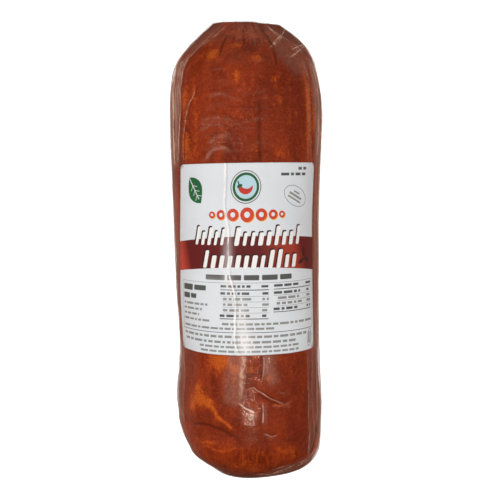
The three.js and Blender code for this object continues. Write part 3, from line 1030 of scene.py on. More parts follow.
def meat_material(look):
    """Paprika-coated cooked pork, with lean, fat that shows through, fibres, specks of spice and
    painted shade.
    """
    material, tree = new_material("coated_coppa")
    place = node(tree, "ShaderNodeTexCoord").outputs["Object"]
    blotches = noise_texture(tree, stretched(tree, place, (1, 0.4, 1)), 70, 5, 0.6, 0.6)
    mottle = noise_texture(tree, place, 320, 4, 0.65)
    crumbs = noise_texture(tree, place, 780, 2, 0.6)
    grain = noise_texture(tree, place, 1500, 2, 0.7)
    drawn_out = stretched(tree, place, (1, 0.12, 0.12), (0, 0, 0.1))
    fibre = noise_texture(tree, drawn_out, 760, 3, 0.65, 0.15)
    fibrous = attribute(tree, "fibre")
    dark_lean_and_shade, bright_fat = opaque(look.lean_dark), opaque(look.fat)

    lean_share = ramp(tree, blotches, [(0.36, 0), (0.64, 1)])
    lean = mix_colour(tree, lean_share, dark_lean_and_shade, opaque(look.lean))
    # Darker lean where the dark spots lie, partly painted shade
    lean = mix_colour(tree, times(tree, attribute(tree, "dark"), 0.85), lean, dark_lean_and_shade)
    pink = times(tree, ramp(tree, mottle, [(0.5, 0), (0.72, 1)]), 0.34)
    coat = mix_colour(tree, pink, lean, opaque(look.coat_light))

    # Fat in ragged patches, thin and dark towards their edges
    ragged = minus(tree, plus(tree, mottle, times(tree, crumbs, 0.8)), 0.9)
    broad = times(tree, minus(tree, blotches, 0.5), 0.45)
    fat_here = plus(tree, attribute(tree, "fat"), plus(tree, ragged, broad))
    fat_share = ramp(tree, fat_here, [(0.2, 0), (0.45, 0.45), (0.8, 1)])
    fat = mix_colour(tree, fat_share, opaque(look.thin_fat), bright_fat)
    coat = mix_colour(tree, fat_share, coat, fat)

    # Bare fibres at the round end: bright strands with dark gaps
    strands = times(tree, ramp(tree, fibre, [(0.5, 0), (0.66, 1)]), fibrous)
    coat = mix_colour(tree, times(tree, strands, 0.5), coat, bright_fat)
    gaps = times(tree, ramp(tree, fibre, [(0.38, 1), (0.5, 0)]), fibrous)
    coat = mix_colour(tree, times(tree, gaps, 0.25), coat, dark_lean_and_shade)

    # The coat's grain and its dusty parts, then spice in specks, and painted shade, spice-coloured, in
    # the tucks
    fine = plus(tree, times(tree, grain, 0.55), times(tree, crumbs, 0.45))
    tone = ramp(tree, fine, [(0.34, 0.2), (0.5, 0.5), (0.66, 0.8)])
    coat = mix_colour(tree, 0.34, coat, tone, "OVERLAY")
    smooth_coat = minus(tree, 0.14, times(tree, fibrous, 0.2), True)
    dry = times(tree, ramp(tree, fine, [(0.46, 0), (0.7, 1)]), smooth_coat)
    coat = mix_colour(tree, dry, coat, opaque(look.dry_coat))
    specks = times(tree, ramp(tree, grain, [(0.25, 1), (0.36, 0)]), 0.38)
    painted_tuck_shade = times(tree, attribute(tree, "tuck"), 0.8)
    coat = mix_colour(tree, largest(tree, specks, painted_tuck_shade), coat, opaque(look.spice))

    relief = plus(tree, times(tree, mottle, 0.7), times(tree, grain, 0.3))
    shader = node(
        tree,
        "ShaderNodeBsdfPrincipled",
        {
            "Base Color": coat,
            "Roughness": plus(tree, times(tree, mottle, 0.25), 0.42),
            "Specular IOR Level": 0.08,
            "Subsurface Weight": 0.12,
            "Subsurface Radius": (0.6, 0.2, 0.1),
            "Subsurface Scale": 0.004,
            "Normal": bump(tree, relief, 0.5, 0.0006),
        },
    )
    node(tree, "ShaderNodeOutputMaterial", {"Surface": shader.outputs["BSDF"]})
    return material


def bell(tree, value, middle, spread):
    """A smooth bell of a value, 1 at its middle."""
    off = math_node(tree, "DIVIDE", minus(tree, value, middle), spread)
    return math_node(tree, "POWER", math.e, times(tree, times(tree, off, off), -1.0))


def crest_line_shares(tree, place):
    """Crests as painted highlights with painted shade beside them, valleys as painted shade, broken up.
    """
    wander = minus(tree, noise_texture(tree, place, 420, 2, 0.6), 0.5)
    gap = plus(tree, attribute(tree, "crest_gap"), times(tree, wander, 2.2))
    glow = attribute(tree, "crest_glow")
    broken = ramp(tree, noise_texture(tree, place, 230, 3, 0.6), [(0.36, 0.3), (0.58, 1)])
    line = times(tree, bell(tree, gap, 0.0, 1.0), broken)
    lit = times(tree, largest(tree, glow, 0.0), 1.8, True)
    unlit = largest(tree, times(tree, glow, -1.0), 0.0)
    beside = times(tree, times(tree, bell(tree, gap, 2.0, 1.1), lit), 0.55)
    return times(tree, line, lit), plus(tree, times(tree, line, unlit), beside, True)


def film_material(look, name="clear_film", haze=None):
    """Clear shrink film: glossy, clearer face on than edgeways, milky where doubled, with painted
    light.
    """
    material, tree = new_material(name)
    place = node(tree, "ShaderNodeTexCoord").outputs["Object"]
    tight = noise_texture(tree, stretched(tree, place, (1, 0.7, 1)), 620, 1, 0.45)
    broad = noise_texture(tree, place, 90, 2, 0.5)
    pucker_range = {"Value": attribute(tree, "crinkle"), 3: 0.14, 4: 1.0}
    puckers = node(tree, "ShaderNodeMapRange", pucker_range).outputs[0]
    normal = bump(tree, plus(tree, times(tree, tight, puckers), broad), look.ripple, 0.0004)

    facing = node(tree, "ShaderNodeLayerWeight", {"Blend": 0.5, "Normal": normal}).outputs["Facing"]
    rim = math_node(tree, "POWER", facing, 5.0)
    gloss_share = plus(tree, times(tree, rim, 1 - look.face_on_gloss), look.face_on_gloss, True)

    bright, dark = crest_line_shares(tree, place)
    lit_share = times(tree, bright, 4.0, True)
    milk = node(
        tree,
        "ShaderNodeBsdfPrincipled",
        {
            "Base Color": mix_colour(tree, lit_share, opaque(look.milk), opaque(look.crest_light)),
            "Roughness": 0.4,
            "Specular IOR Level": 0.2,
            "Normal": normal,
        },
    ).outputs["BSDF"]
    # Painted shade beside the crests and in the valleys, in the light through the film
    tint = mix_colour(tree, dark, opaque(look.tint), opaque(look.crest_shade))
    clear = node(tree, "ShaderNodeBsdfTransparent", {"Color": tint}).outputs["BSDF"]

    # How milky: a slight haze, the veils with their painted light, the film seen along its surface
    # (partly a painted reflection), and the painted highlights along the crests
    cloudy = times(tree, ramp(tree, broad, [(0.35, 0.4), (0.7, 1)]), haze or look.haze)
    grains = noise_texture(tree, stretched(tree, place, (1, 0.5, 1)), 1100, 3, 0.7)
    patchy = times(tree, attribute(tree, "veil"), ramp(tree, grains, [(0.36, 0.3), (0.62, 1)]))
    lines = noise_texture(tree, stretched(tree, place, (1, 0.06, 1)), 760, 3, 0.65)
    lined = ramp(tree, lines, [(0.4, 0.15), (0.62, 1)])
    streaky = times(tree, attribute(tree, "streaky_veil"), lined)
    # Partly painted reflection: the film turns milky where seen along its surface, as if mirroring the
    # room
    edgeways = ramp(tree, facing, [(0.55, 0), (0.8, look.edge_haze)])
    cloudy = plus(tree, cloudy, largest(tree, patchy, streaky), True)
    cloudy = plus(tree, plus(tree, cloudy, edgeways), bright, True)
    body = node(tree, "ShaderNodeMixShader", {"Fac": cloudy, 1: clear, 2: milk}).outputs[0]
    gloss = node(
        tree,
        "ShaderNodeBsdfAnisotropic",
        {"Color": (1, 1, 1, 1), "Roughness": look.roughness, "Normal": normal},
        distribution="GGX",
    ).outputs["BSDF"]
    mixed = node(tree, "ShaderNodeMixShader", {"Fac": gloss_share, 1: body, 2: gloss}).outputs[0]
    node(tree, "ShaderNodeOutputMaterial", {"Surface": mixed})
    return material


def print_material(name, colour, roughness=0.42, speckle=0.06):
    """Ink on the label's satin stock, a little uneven as printed film is."""
    material, tree = new_material(name)
    place = node(tree, "ShaderNodeTexCoord").outputs["Object"]
    uneven = noise_texture(tree, place, 900, 2, 0.6)
    cloud = noise_texture(tree, place, 60, 2, 0.5)
    both = plus(tree, times(tree, uneven, 0.4), times(tree, cloud, 0.6))
    darker = tuple(part * (1 - speckle) for part in colour[:3])
    lighter = tuple(min(1, part * (1 + speckle)) for part in colour[:3])
    tone = mix_colour(tree, ramp(tree, both, [(0.3, 0), (0.7, 1)]), opaque(darker), opaque(lighter))
    finish_print(tree, tone, roughness, cloud)
    return material


def finish_print(tree, tone, roughness, cloud):
    """Paints highlight along the label's ridge, shade beside it and sheen, and makes its shader."""
    place = node(tree, "ShaderNodeTexCoord").outputs["Object"]
    rough_edge = minus(tree, noise_texture(tree, place, 520, 3, 0.7), 0.5)
    gap = plus(tree, attribute(tree, "ridge_gap"), times(tree, rough_edge, 2.4))
    uneven = noise_texture(tree, stretched(tree, place, (1, 0.4, 1)), 150, 2, 0.5)
    patches = ramp(tree, uneven, [(0.4, 0.35), (0.56, 1)])
    # Painted shade beside the ridge
    shade = times(tree, bell(tree, gap, 1.7, 0.7), 0.28)
    tone = mix_colour(tree, shade, tone, RIDGE_SHADE)
    # Painted highlight along the ridge in patches, joined by the painted sheen
    painted_highlight = times(tree, bell(tree, gap, 0.0, 0.8), patches)
    painted_highlight = largest(tree, painted_highlight, attribute(tree, "sheen"))
    tone = mix_colour(tree, painted_highlight, tone, PAINTED_HIGHLIGHT_TONE)
    shader = node(
        tree,
        "ShaderNodeBsdfPrincipled",
        {
            "Base Color": tone,
            "Roughness": plus(tree, times(tree, cloud, 0.12), roughness - 0.06),
            "Specular IOR Level": 0.35,
            "Normal": bump(tree, cloud, 0.15, 0.0005),
        },
    )
    node(tree, "ShaderNodeOutputMaterial", {"Surface": shader.outputs["BSDF"]})


def band_material(look):
    """The printed band, from red at its left end over maroon to a glow, and maroon again."""
    material, tree = new_material("label_band")
    place = node(tree, "ShaderNodeTexCoord")
    flat = node(tree, "ShaderNodeSeparateXYZ", {0: place.outputs["UV"]})
    cloud = noise_texture(tree, place.outputs["Object"], 60, 2, 0.5)
    slant = times(tree, minus(tree, flat.outputs["Y"], 0.5), 0.35)
    across = plus(tree, flat.outputs["X"], slant)
    red = ramp(tree, across, [(0.03, 1), (0.11, 0)])
    glow = ramp(tree, across, [(0.6, 0), (0.76, 1), (0.84, 1), (0.91, 0)])
    tone = mix_colour(tree, red, opaque(look.band_dark), opaque(look.band_red))
    tone = mix_colour(tree, glow, tone, opaque(look.band_glow))
    finish_print(tree, tone, 0.4, cloud)
    return material


# The flat layout of the label's print: outlines in millimetres and the ink of each

PRINT_SEED = 11
PRINT_STEP = 1.6  # the most that two points of an outline lie apart

# Rows of the title: left, right, foot and the heights of its slabs
TITLE_LEAN = 0.16
TITLE_ROWS = (
    (-36.5, -14.5, 8.8, (11.5, 8.2, 11, 8.6, 10.2)),
    (-9.5, 37.5, 8.6, (11.2, 8, 8.2, 8, 8.4, 11.8, 8.2, 8.2, 11.4)),
    (-30.5, 34.5, -5.4, (11, 7.9, 8, 7.9, 8.2, 8, 8.1, 8, 11.2, 11.4, 8, 8)),
)

# Lines of small print in the corner and at the foot: left, right, place up, height and ink
CORNER_LINES = (
    (35.2, 41.8, 55.4, 1.7, "ink"),
    (22.4, 41.8, 51.9, 1.7, "ink"),
)
FOOT_LINES = (
    (-45, 42.6, -47.6, 1.5, "small"),
    (-44, 35, -51.0, 1.5, "small"),
    (-30.5, 37.2, -54.0, 1.3, "small"),
    (-29.6, 36, -56.8, 1.3, "small"),
)


def ellipse(u, v, half_u, half_v, turn=0.0, count=28):
    run = np.arange(count) / count * 2 * math.pi
    return turned([(half_u * math.cos(t), half_v * math.sin(t)) for t in run], u, v, turn)


def turned(outline, u, v, turn):
    cos, sin = math.cos(turn * DEGREE), math.sin(turn * DEGREE)
    return [(u + x * cos - y * sin, v + x * sin + y * cos) for x, y in outline]


def slab(left, right, bottom, top):
    return [(left, bottom), (right, bottom), (right, top), (left, top)]


def rounded_slab(left, right, bottom, top, corner, lean=0.0):
    """A slab with round corners. A lean shifts its top to the right by a share of its height."""
    outline = []
    for at_u, at_v, start in (
        (right - corner, top - corner, 0),
        (left + corner, top - corner, 90),
        (left + corner, bottom + corner, 180),
        (right - corner, bottom + corner, 270),
    ):
        for step in range(5):
            turn = (start + step * 22.5) * DEGREE
            outline.append((at_u + corner * math.cos(turn), at_v + corner * math.sin(turn)))
    return [(u + (v - bottom) * lean, v) for u, v in outline]


def leaf_outline(u, v, length, width, turn, count=12):
    """A pointed leaf."""
    shares = [i / count for i in range(count)]
    upper = [(length * (s - 0.5), width / 2 * math.sin(math.pi * s**0.8)) for s in shares]
    lower = [(-x, -y * 0.9) for x, y in upper]
    return turned(upper + lower, u, v, turn)


def band_edge(at_u, is_top):
    if is_top:
        return 14.5 - 3.5 * ((at_u - 7) / 50.5) ** 2
    return -4.6 - 4.2 * (at_u / 50.5) ** 2


def band_outline():
    edge = LABEL_WIDTH / 2
    places = np.linspace(-edge, edge, 60)
    return [(u, band_edge(u, False)) for u in places] + [(u, band_edge(u, True)) for u in places[::-1]]


def label_outline():
    half_width, half_length = LABEL_WIDTH / 2, LABEL_LENGTH / 2
    return rounded_slab(-half_width, half_width, -half_length, half_length, LABEL_CORNER)


def plain_words(draw, left, right, v, height, ink):
    """A line of small print as plain bars of uneven length."""
    shapes = []
    u = left
    while u < right - 0.8:
        size = min(draw.uniform(1.6, 6.5), right - u)
        shapes.append((slab(u, u + size, v - height / 2, v + height / 2), ink))
        u += size + height * 0.75
    return shapes


def title_row(draw, left, right, bottom, heights, lean):
    """A row of rounded white slabs with dark shadows behind them."""
    step = (right - left) / len(heights)
    shadows, slabs = [], []
    for i, height in enumerate(heights):
        own = step * draw.uniform(0.42, 0.6)
        u = left + step * i + (step - own) / 2
        shadow = rounded_slab(u - 0.9, u + own - 0.5, bottom + 0.5, bottom + height + 0.9, 0.9, lean)
        shadows.append((shadow, "shadow"))
        slabs.append((rounded_slab(u, u + own, bottom, bottom + height, 0.9, lean), "title"))
    return shadows + slabs


def leaf_print():
    """A leaf with its veins, at the label's upper left."""
    centre, turn = (-36.8, 42.6), -58
    shapes = [(leaf_outline(*centre, 19, 12.5, turn), "green")]
    shapes.append((turned(slab(-9.5, 6.5, -0.3, 0.3), *centre, turn), "stock"))
    for along in (-3.5, 0, 3.5):
        for side in (-1, 1):
            vein = turned(slab(0, 3.6, -0.18, 0.18), along, 0, side * 48)
            shapes.append((turned(vein, *centre, turn), "stock"))
    return shapes


def badge_print():
    """A round seal with a pepper on it."""
    u, v = -1.3, 44.4
    discs = ((10.2, 48, "rule"), (9.6, 48, "stock"), (8.8, 48, "green"), (7.2, 40, "pale_blue"))
    shapes = [(ellipse(u, v, size, size, count=count), ink) for size, count, ink in discs]
    pod = []
    for share in np.arange(25) / 24:
        bend = math.radians(205 + 150 * share)
        pod.append((bend, 1.75 * math.sin(math.pi * min(1, share * 0.8 + 0.22)) ** 0.8))
    middle, reach = v + 1.6, 4.4
    outer = [(u + (reach + w) * math.cos(b), middle + (reach + w) * math.sin(b)) for b, w in pod]
    inner = [(u + (reach - w) * math.cos(b), middle + (reach - w) * math.sin(b)) for b, w in pod[::-1]]
    shapes.append((outer + inner, "red"))
    shapes.append((ellipse(u - 4.2, v + 0.6, 1.9, 1.1, 25, 16), "green"))
    shapes.append((turned(slab(-1.6, 1.6, -0.4, 0.4), u - 4.9, v + 2.2, 110), "green"))
    return shapes


def bead_row():
    """A garland of round beads with bright edges, above the title."""
    sizes, space, v = (2.1, 3.0, 3.8, 4.5, 3.8, 3.0, 2.1), 1.1, 27.5
    places = []
    u = -(2 * sum(sizes) + space * (len(sizes) - 1)) / 2 - 0.2
    for size in sizes:
        places.append((u + size, size))
        u += 2 * size + space
    edges = [(ellipse(u + 0.55, v - 0.5, size, size), "yellow") for u, size in places]
    beads = [(ellipse(u, v, size, size), "orange") for u, size in places]
    holes = [(ellipse(u, v, size * 0.42, size * 0.42, count=20), "stock") for u, size in places]
    return edges + beads + holes


def ring_print(u, v, half_u, half_v, turn, bars, ink="small"):
    """A thin oval ring with bars in it: how far up each is, its half-length and its height."""
    shapes = [(ellipse(u, v, half_u, half_v, turn, 40), "rule")]
    shapes.append((ellipse(u, v, half_u - 0.35, half_v - 0.35, turn, 40), "stock"))
    for offset, half, height in bars:
        bar = slab(-half, half, offset - height / 2, offset + height / 2)
        shapes.append((turned(bar, u, v, turn), ink))
    return shapes


def column_print(draw, left, right, top, rows, step, heavy):
    """A column of the table: a heading, a heavy rule, rows with thin rules, and a heavy rule."""
    wide = right - left
    shapes = plain_words(draw, left, left + wide * 0.62, top, 1.5, "ink")
    shapes += plain_words(draw, right - 5, right, top, 1.4, "ink")
    v = top - 2.2
    shapes.append((slab(left, right, v - heavy / 2, v + heavy / 2), "ink"))
    for row in range(rows):
        v_row = v - 2.2 - row * step
        is_outer = row in (0, rows - 1)
        inset = 0 if is_outer else draw.uniform(1.5, 4)
        ink = "ink" if is_outer else "small"
        end = left + wide * draw.uniform(0.55, 0.7)
        shapes += plain_words(draw, left + inset, end, v_row, 1.55, ink)
        shapes += plain_words(draw, right - 4.2, right, v_row, 1.5, ink)
        if row < rows - 1:
            line = v_row - step / 2
            shapes.append((slab(left + inset, right, line - 0.09, line + 0.09), "rule"))
    last = v - 2.2 - (rows - 1) * step - 1.9
    shapes.append((slab(left, right, last - heavy / 2, last + heavy / 2), "ink"))
    return shapes


def table_print(draw):
    left, right, top, foot = -46.3, 48.5, -14.3, -44.8
    line = 0.22
    shapes = [
        (slab(left, right, top - line / 2, top + line / 2), "rule"),
        (slab(left, left + line, foot, top), "rule"),
        (slab(right - line, right, foot, top), "rule"),
        (slab(left, right, foot - 0.4, foot), "ink"),
    ]
    shapes += [
        (rounded_slab(-45, -36.5, -20, -16.2, 0.5), "ink"),
        (rounded_slab(-35.3, -26.5, -19.6, -16.4, 0.5), "ink"),
        (rounded_slab(-45, -39, -25.2, -21.8, 0.5), "ink"),
        (rounded_slab(-38, -33.5, -24.9, -22, 0.5), "ink"),
    ]
    for v, end in ((-28.3, -25), (-31.5, -29), (-34.8, -31), (-38.2, -23.5)):
        shapes += plain_words(draw, -44.8, end, v, 1.35, "small")
    shapes += column_print(draw, -16.6, 15.1, -16.4, 5, 3.45, 0.55)
    shapes += column_print(draw, 18.3, 47.3, -16.2, 4, 3.35, 0.5)
    shapes += plain_words(draw, -15, 47.6, -39.8, 1.4, "small")
    shapes += plain_words(draw, -44.9, 19.4, -42.6, 1.3, "small")
    return shapes


def label_print():
    """Every printed shape, from the lowest to the topmost."""
    draw = np.random.default_rng(PRINT_SEED)
    shapes = [(band_outline(), "band")]
    for row in TITLE_ROWS:
        shapes += title_row(draw, *row, TITLE_LEAN)
    for at_u, at_v, turn in ((40.6, 3.4, 95), (38.4, -2.2, 215), (43.2, -1.4, -30)):
        shapes.append((leaf_outline(at_u, at_v, 6.5, 2.6, turn, 8), "shadow"))
    shapes += leaf_print() + badge_print() + bead_row()
    for line in CORNER_LINES:
        shapes += plain_words(draw, *line)
    bars = ((2.3, 2.4, 1.1), (0.1, 5.2, 1.4), (-2.2, 5.4, 1.1))
    shapes += ring_print(33.4, 38.4, 9.3, 6.0, -27, bars)
    for left, right in ((-26.8, -14), (-12.4, -3.2), (-1.4, 8.6), (10.4, 20.6), (22.2, 30.4)):
        shapes.append((rounded_slab(left, right, -12.6, -9.4, 0.5), "ink"))
    shapes += table_print(draw)
    for line in FOOT_LINES:
        shapes += plain_words(draw, *line)
    shapes += ring_print(45.6, -51.2, 5.6, 2.3, 84, ((0.7, 3.6, 0.7), (-0.7, 3.6, 0.7)), "ink")
    return shapes


# The crease that runs down the label, flat, as places across and up it
LABEL_RIDGE = (
    (-15.5, 60), (-15.2, 46), (-15.6, 33), (-13.1, 21), (-12.3, 15),
    (-11.7, -6), (-8.9, -16), (-6.9, -25), (-6.4, -50), (-3, -60),
)
LABEL_RIDGE_HEIGHT = 0.5
LABEL_RIDGE_REACH = 0.9
RIDGE_LINE_WIDTH = 0.75

# Painted sheen on the label, a painted highlight over its print: a place across and up it, how far it
# reaches, and its share
LABEL_PAINTED_SHEENS = (
    (0.4, -52, 4, 9, 0.6),
    (-2.6, -36, 3.4, 12, 0.35),
    (-12.4, -2, 3, 20, 0.32),
    (-30, -12, 18, 2, 0.12),
)
LABEL_GRID = 0.95
LABEL_LOW = 0.12
LABEL_PUCKERS = (0.1, 9)
LABEL_THICKNESS = 0.2


def label_place(u, v):
    """Where a point of the flat label lies: its angle and its place along the log."""
    across = 2 * u / LABEL_WIDTH
    up = v / LABEL_LENGTH + 0.5
    radius = LABEL_RADIUS_BOTTOM + (LABEL_RADIUS_TOP - LABEL_RADIUS_BOTTOM) * up
    middle = (LABEL_CENTRE_ANGLE + LABEL_TWIST * (2 * up - 1)) * DEGREE
    slant = LABEL_TOP_SLANT / 2 * across * up
    bow = LABEL_BOTTOM_BOW * (1 - across**2) * (1 - up)
    return middle + u / radius, LABEL_CENTRE_Y + v + slant - bow


def label_lift(u, v):
    """How far the label's underside stands off the film: a crease, and slight puckers."""
    flat = np.stack([u, v, 0 * u], -1)
    path = smooth_path(LABEL_RIDGE)
    gap, _ = distance_to_path(flat, np.column_stack([path, np.zeros(len(path))]))
    ridge = LABEL_RIDGE_HEIGHT * np.exp(-gap / LABEL_RIDGE_REACH)
    puckers = LABEL_PUCKERS[0] * (fine_noise(flat * (1, 0.5, 1), LABEL_PUCKERS[1]) + 1)
    return LABEL_LOW + ridge + puckers


def finely(outline, step):
    """An outline with points no further apart than a step."""
    made = []
    for (u, v), (next_u, next_v) in zip(outline, outline[1:] + outline[:1]):
        count = max(1, math.ceil(math.hypot(next_u - u, next_v - v) / step))
        made += [(u + (next_u - u) * i / count, v + (next_v - v) * i / count) for i in range(count)]
    return made


def is_counter_clockwise(outline):
    following = outline[1:] + outline[:1]
    return sum(u * next_v - next_u * v for (u, v), (next_u, next_v) in zip(outline, following)) > 0


def label_layout(shapes):
    """The flat label's points, and a counter-clockwise loop of them for each printed shape."""
    points, loops = [], []
    for outline, _ in shapes:
        fine = finely(outline, PRINT_STEP)
        loop = list(range(len(points), len(points) + len(fine)))
        loops.append(loop if is_counter_clockwise(fine) else loop[::-1])
        points += fine
    edge_u, edge_v = LABEL_WIDTH / 2 - LABEL_GRID / 2, LABEL_LENGTH / 2 - LABEL_GRID / 2
    for u in np.arange(-edge_u, edge_u, LABEL_GRID):
        for v in np.arange(-edge_v, edge_v, LABEL_GRID):
            if abs(u) < edge_u - LABEL_CORNER or abs(v) < edge_v - LABEL_CORNER:
                points.append((u, v))
    return [Vector(p) for p in points], loops


def sheet_faces(flat, faces):
    """Faces of a thin closed sheet: the flat ones turned up, their undersides, and the rim."""
    count = len(flat)
    upward = []
    for face in faces:
        a, b, c = (flat[i] for i in face[:3])
        area = (b.x - a.x) * (c.y - a.y) - (c.x - a.x) * (b.y - a.y)
        upward.append(list(face) if area > 0 else list(face)[::-1])
    edges = dict.fromkeys((a, b) for face in upward for a, b in zip(face, face[1:] + face[:1]))
    under = [[i + count for i in face[::-1]] for face in upward]
    rim = [[b, a, a + count, b + count] for a, b in edges if (b, a) not in edges]
    return upward + under + rim


def label_mesh(inks):
    """The label as a thin closed sheet, its face cut along the outlines of its print."""
    shapes = [(label_outline(), "stock")] + label_print()
    points, loops = label_layout(shapes)
    flat, _, faces, _, _, sources = geometry.delaunay_2d_cdt(points, [], loops, 1, 1e-5)
    u = np.array([p.x for p in flat])
    v = np.array([p.y for p in flat])
    angle, y = label_place(u, v)
    low = label_lift(u, v)
    face, under = point_above(angle, y, low + LABEL_THICKNESS), point_above(angle, y, low)
    all_faces = sheet_faces(flat, faces)
    piece = mesh_object("label_sheet", in_frame(np.vstack([face, under])), all_faces)
    order = list(inks)
    ink_of = [order.index(shapes[max(source)][1]) for source in sources]
    ink_of += [0] * (len(all_faces) - len(ink_of))
    piece.data.polygons.foreach_set("material_index", ink_of)
    for material in inks.values():
        piece.data.materials.append(material)

    ridge = smooth_path(LABEL_RIDGE)
    gap, _ = distance_to_path(np.stack([u, v], -1), ridge)
    side = np.sign(u - np.interp(v, ridge[::-1, 1], ridge[::-1, 0]))
    attribute_of(piece, "ridge_gap", np.tile(np.clip(gap * side / RIDGE_LINE_WIDTH, -5, 5), 2))
    # The painted sheen: a painted highlight over the print
    sheen = 0
    for at_u, at_v, across, up, share in LABEL_PAINTED_SHEENS:
        sheen = sheen + share * np.exp(-(((u - at_u) / across) ** 2 + ((v - at_v) / up) ** 2))
    attribute_of(piece, "sheen", np.tile(sheen, 2))

    layer = piece.data.uv_layers.new(name="UVMap")
    flat_uv = np.column_stack([u / LABEL_WIDTH + 0.5, v / LABEL_LENGTH + 0.5])
    corners = np.zeros(len(piece.data.loops), np.int32)
    piece.data.loops.foreach_get("vertex_index", corners)
    layer.data.foreach_set("uv", flat_uv[corners % len(flat)].ravel())
    return piece


# The pieces

def painted(angle, y, spots):
    """How strongly a list of soft oval spots covers each place, from 0 to 1."""
    total = np.zeros(angle.shape)
    reach = section_reach(angle, y)
    for spot in spots:
        around = (angle - spot.angle * DEGREE) * reach
        along = y - spot.y
        cos, sin = math.cos(spot.turn * DEGREE), math.sin(spot.turn * DEGREE)
        s = around * cos + along * sin
        t = -around * sin + along * cos
        shape = np.exp(-((s / spot.across) ** 2 + (t / spot.along) ** 2))
        total = np.maximum(total, spot.strength * shape)
    return total


def hidden_side_spots(seed, count):
    """Fat spots over the sides and the underside, which are as mottled as the upper side."""
    draw = np.random.default_rng(seed)
    made = []
    for _ in range(count):
        side = draw.uniform(75, 180) * draw.choice([-1, 1])
        y = draw.uniform(-LAST_Y + 8, LAST_Y - 8)
        across, along = draw.uniform(3, 9), draw.uniform(4, 16)
        made.append(Spot(side, y, across, along, draw.uniform(-30, 30), draw.uniform(0.35, 0.9)))
    return made


def with_end_face(values):
    """Values of a skin's grid, with those of the gathered edge repeated over the end face."""
    poles = [values[0].mean(), values[-1].mean()]
    return np.concatenate([values.ravel(), np.tile(values[-1], len(FACE_SIZES)), poles])


def make_meat(sizes, look):
    angle, y = skin_grid()
    inside = y * (1 - MEAT_SHORTER / LAST_Y)
    film = film_relief(angle, inside, sizes.crease_strength, sizes.wrinkle_seed, sizes.wrinkle_count)
    least_gap = sizes.film_gap * LEAST_GAP_SHARE
    relief = np.minimum(meat_relief(angle, inside) - sizes.film_gap, film - least_gap)
    rings = log_point(angle, inside, relief)
    rings[..., 1] -= edge_drop(angle, y)
    rings[..., 2] = np.maximum(rings[..., 2], sizes.film_gap)
    end = rings[-1]
    centre = end.mean(0)
    caps = [centre + (end - centre) * size - (0, MEAT_DIMPLE * (1 - size**2), 0) for size in FACE_SIZES]
    rings = np.concatenate([rings, np.array(caps)])
    first = (0, -LAST_Y + MEAT_SHORTER, WIDEST_HEIGHT)
    piece = closed_skin("coppa_meat", rings, first, centre - (0, MEAT_DIMPLE + MEAT_POLE, 0))

    spots = FAT_SPOTS + tuple(hidden_side_spots(HIDDEN_SPOT_SEED, HIDDEN_SPOT_COUNT))
    fat = np.maximum(painted(angle, inside, spots), streaks(angle, inside, FAT_STREAKS))
    end_middle = hump(angle / DEGREE, 8, 16) * hump(inside, -130, 7)
    fibre = progress(-inside, 116, 124) * (0.5 + 0.5 * end_middle)
    attribute_of(piece, "fat", with_end_face(fat))
    attribute_of(piece, "dark", with_end_face(painted(angle, inside, DARK_SPOTS)))
    attribute_of(piece, "tuck", with_end_face(streaks(angle, inside, DARK_STREAKS)))
    attribute_of(piece, "fibre", with_end_face(fibre))
    piece.data.materials.append(meat_material(look))
    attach(piece, BODY)


def make_film(sizes, look):
    angle, y = skin_grid()
    relief = film_relief(angle, y, sizes.crease_strength, sizes.wrinkle_seed, sizes.wrinkle_count)
    rings = log_point(angle, y, relief)
    rings[..., 1] -= edge_drop(angle, y)
    edge = rings[-1]
    middle = np.array([edge[:, 0].mean(), 0, WIDEST_HEIGHT])
    caps = []
    for size in FACE_SIZES:
        ring = middle + (edge - middle) * size
        ring[:, 1] = edge[:, 1] - GATHERED_DIMPLE * (1 - size**2)
        caps.append(ring)
    rings = np.concatenate([rings, np.array(caps)])
    last = (middle[0], LAST_Y - GATHERED_DIMPLE - FILM_POLE, WIDEST_HEIGHT)
    piece = closed_skin("bag_film", rings, (0, -LAST_Y, WIDEST_HEIGHT), last)

    bare = 1 - label_share(angle, y)
    stretched_lines = crease_relief(stretch_lines(sizes.wrinkle_seed, STRETCH_LINE_COUNT), angle, y)
    creases = FILM_CREASES + pleat_lines(sizes.wrinkle_seed, PLEAT_LINE_COUNT)
    gaps, glows = crest_lines(creases, angle, y)
    attribute_of(piece, "veil", with_end_face(veiled(VEILS_AND_PAINTED_LIGHT, angle, y) + stretched_lines * bare))
    attribute_of(piece, "streaky_veil", with_end_face(veiled(STREAKY_VEILS, angle, y)))
    attribute_of(piece, "crinkle", with_end_face(veiled([CRINKLED], angle, y)))
    attribute_of(piece, "crest_gap", with_end_face(gaps))
    attribute_of(piece, "crest_glow", with_end_face(glows * bare))
    piece.data.materials.append(film_material(look))
    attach(piece, BODY)
    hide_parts("sealed_bag")


def tail_faces(count, turn):
    """Faces of a tail's lower and upper layers and its rim. A turn of -1 faces them the other way."""
    row = TAIL_COLUMNS + 1
    faces = []
    for r in range(TAIL_ROWS):
        for c in range(TAIL_COLUMNS):
            a = r * row + c
            quad = [a, a + 1, a + row + 1, a + row][::turn]
            faces.append(quad[::-1])
            faces.append([i + count for i in quad])
    rim = list(range(row))
    rim += [r * row + TAIL_COLUMNS for r in range(1, TAIL_ROWS + 1)]
    rim += [TAIL_ROWS * row + c for c in range(TAIL_COLUMNS - 1, -1, -1)]
    rim += [r * row for r in range(TAIL_ROWS - 1, 0, -1)]
    for a, b in zip(rim, rim[1:] + rim[:1]):
        faces.append([a, b, b + count, a + count][::turn])
    return faces


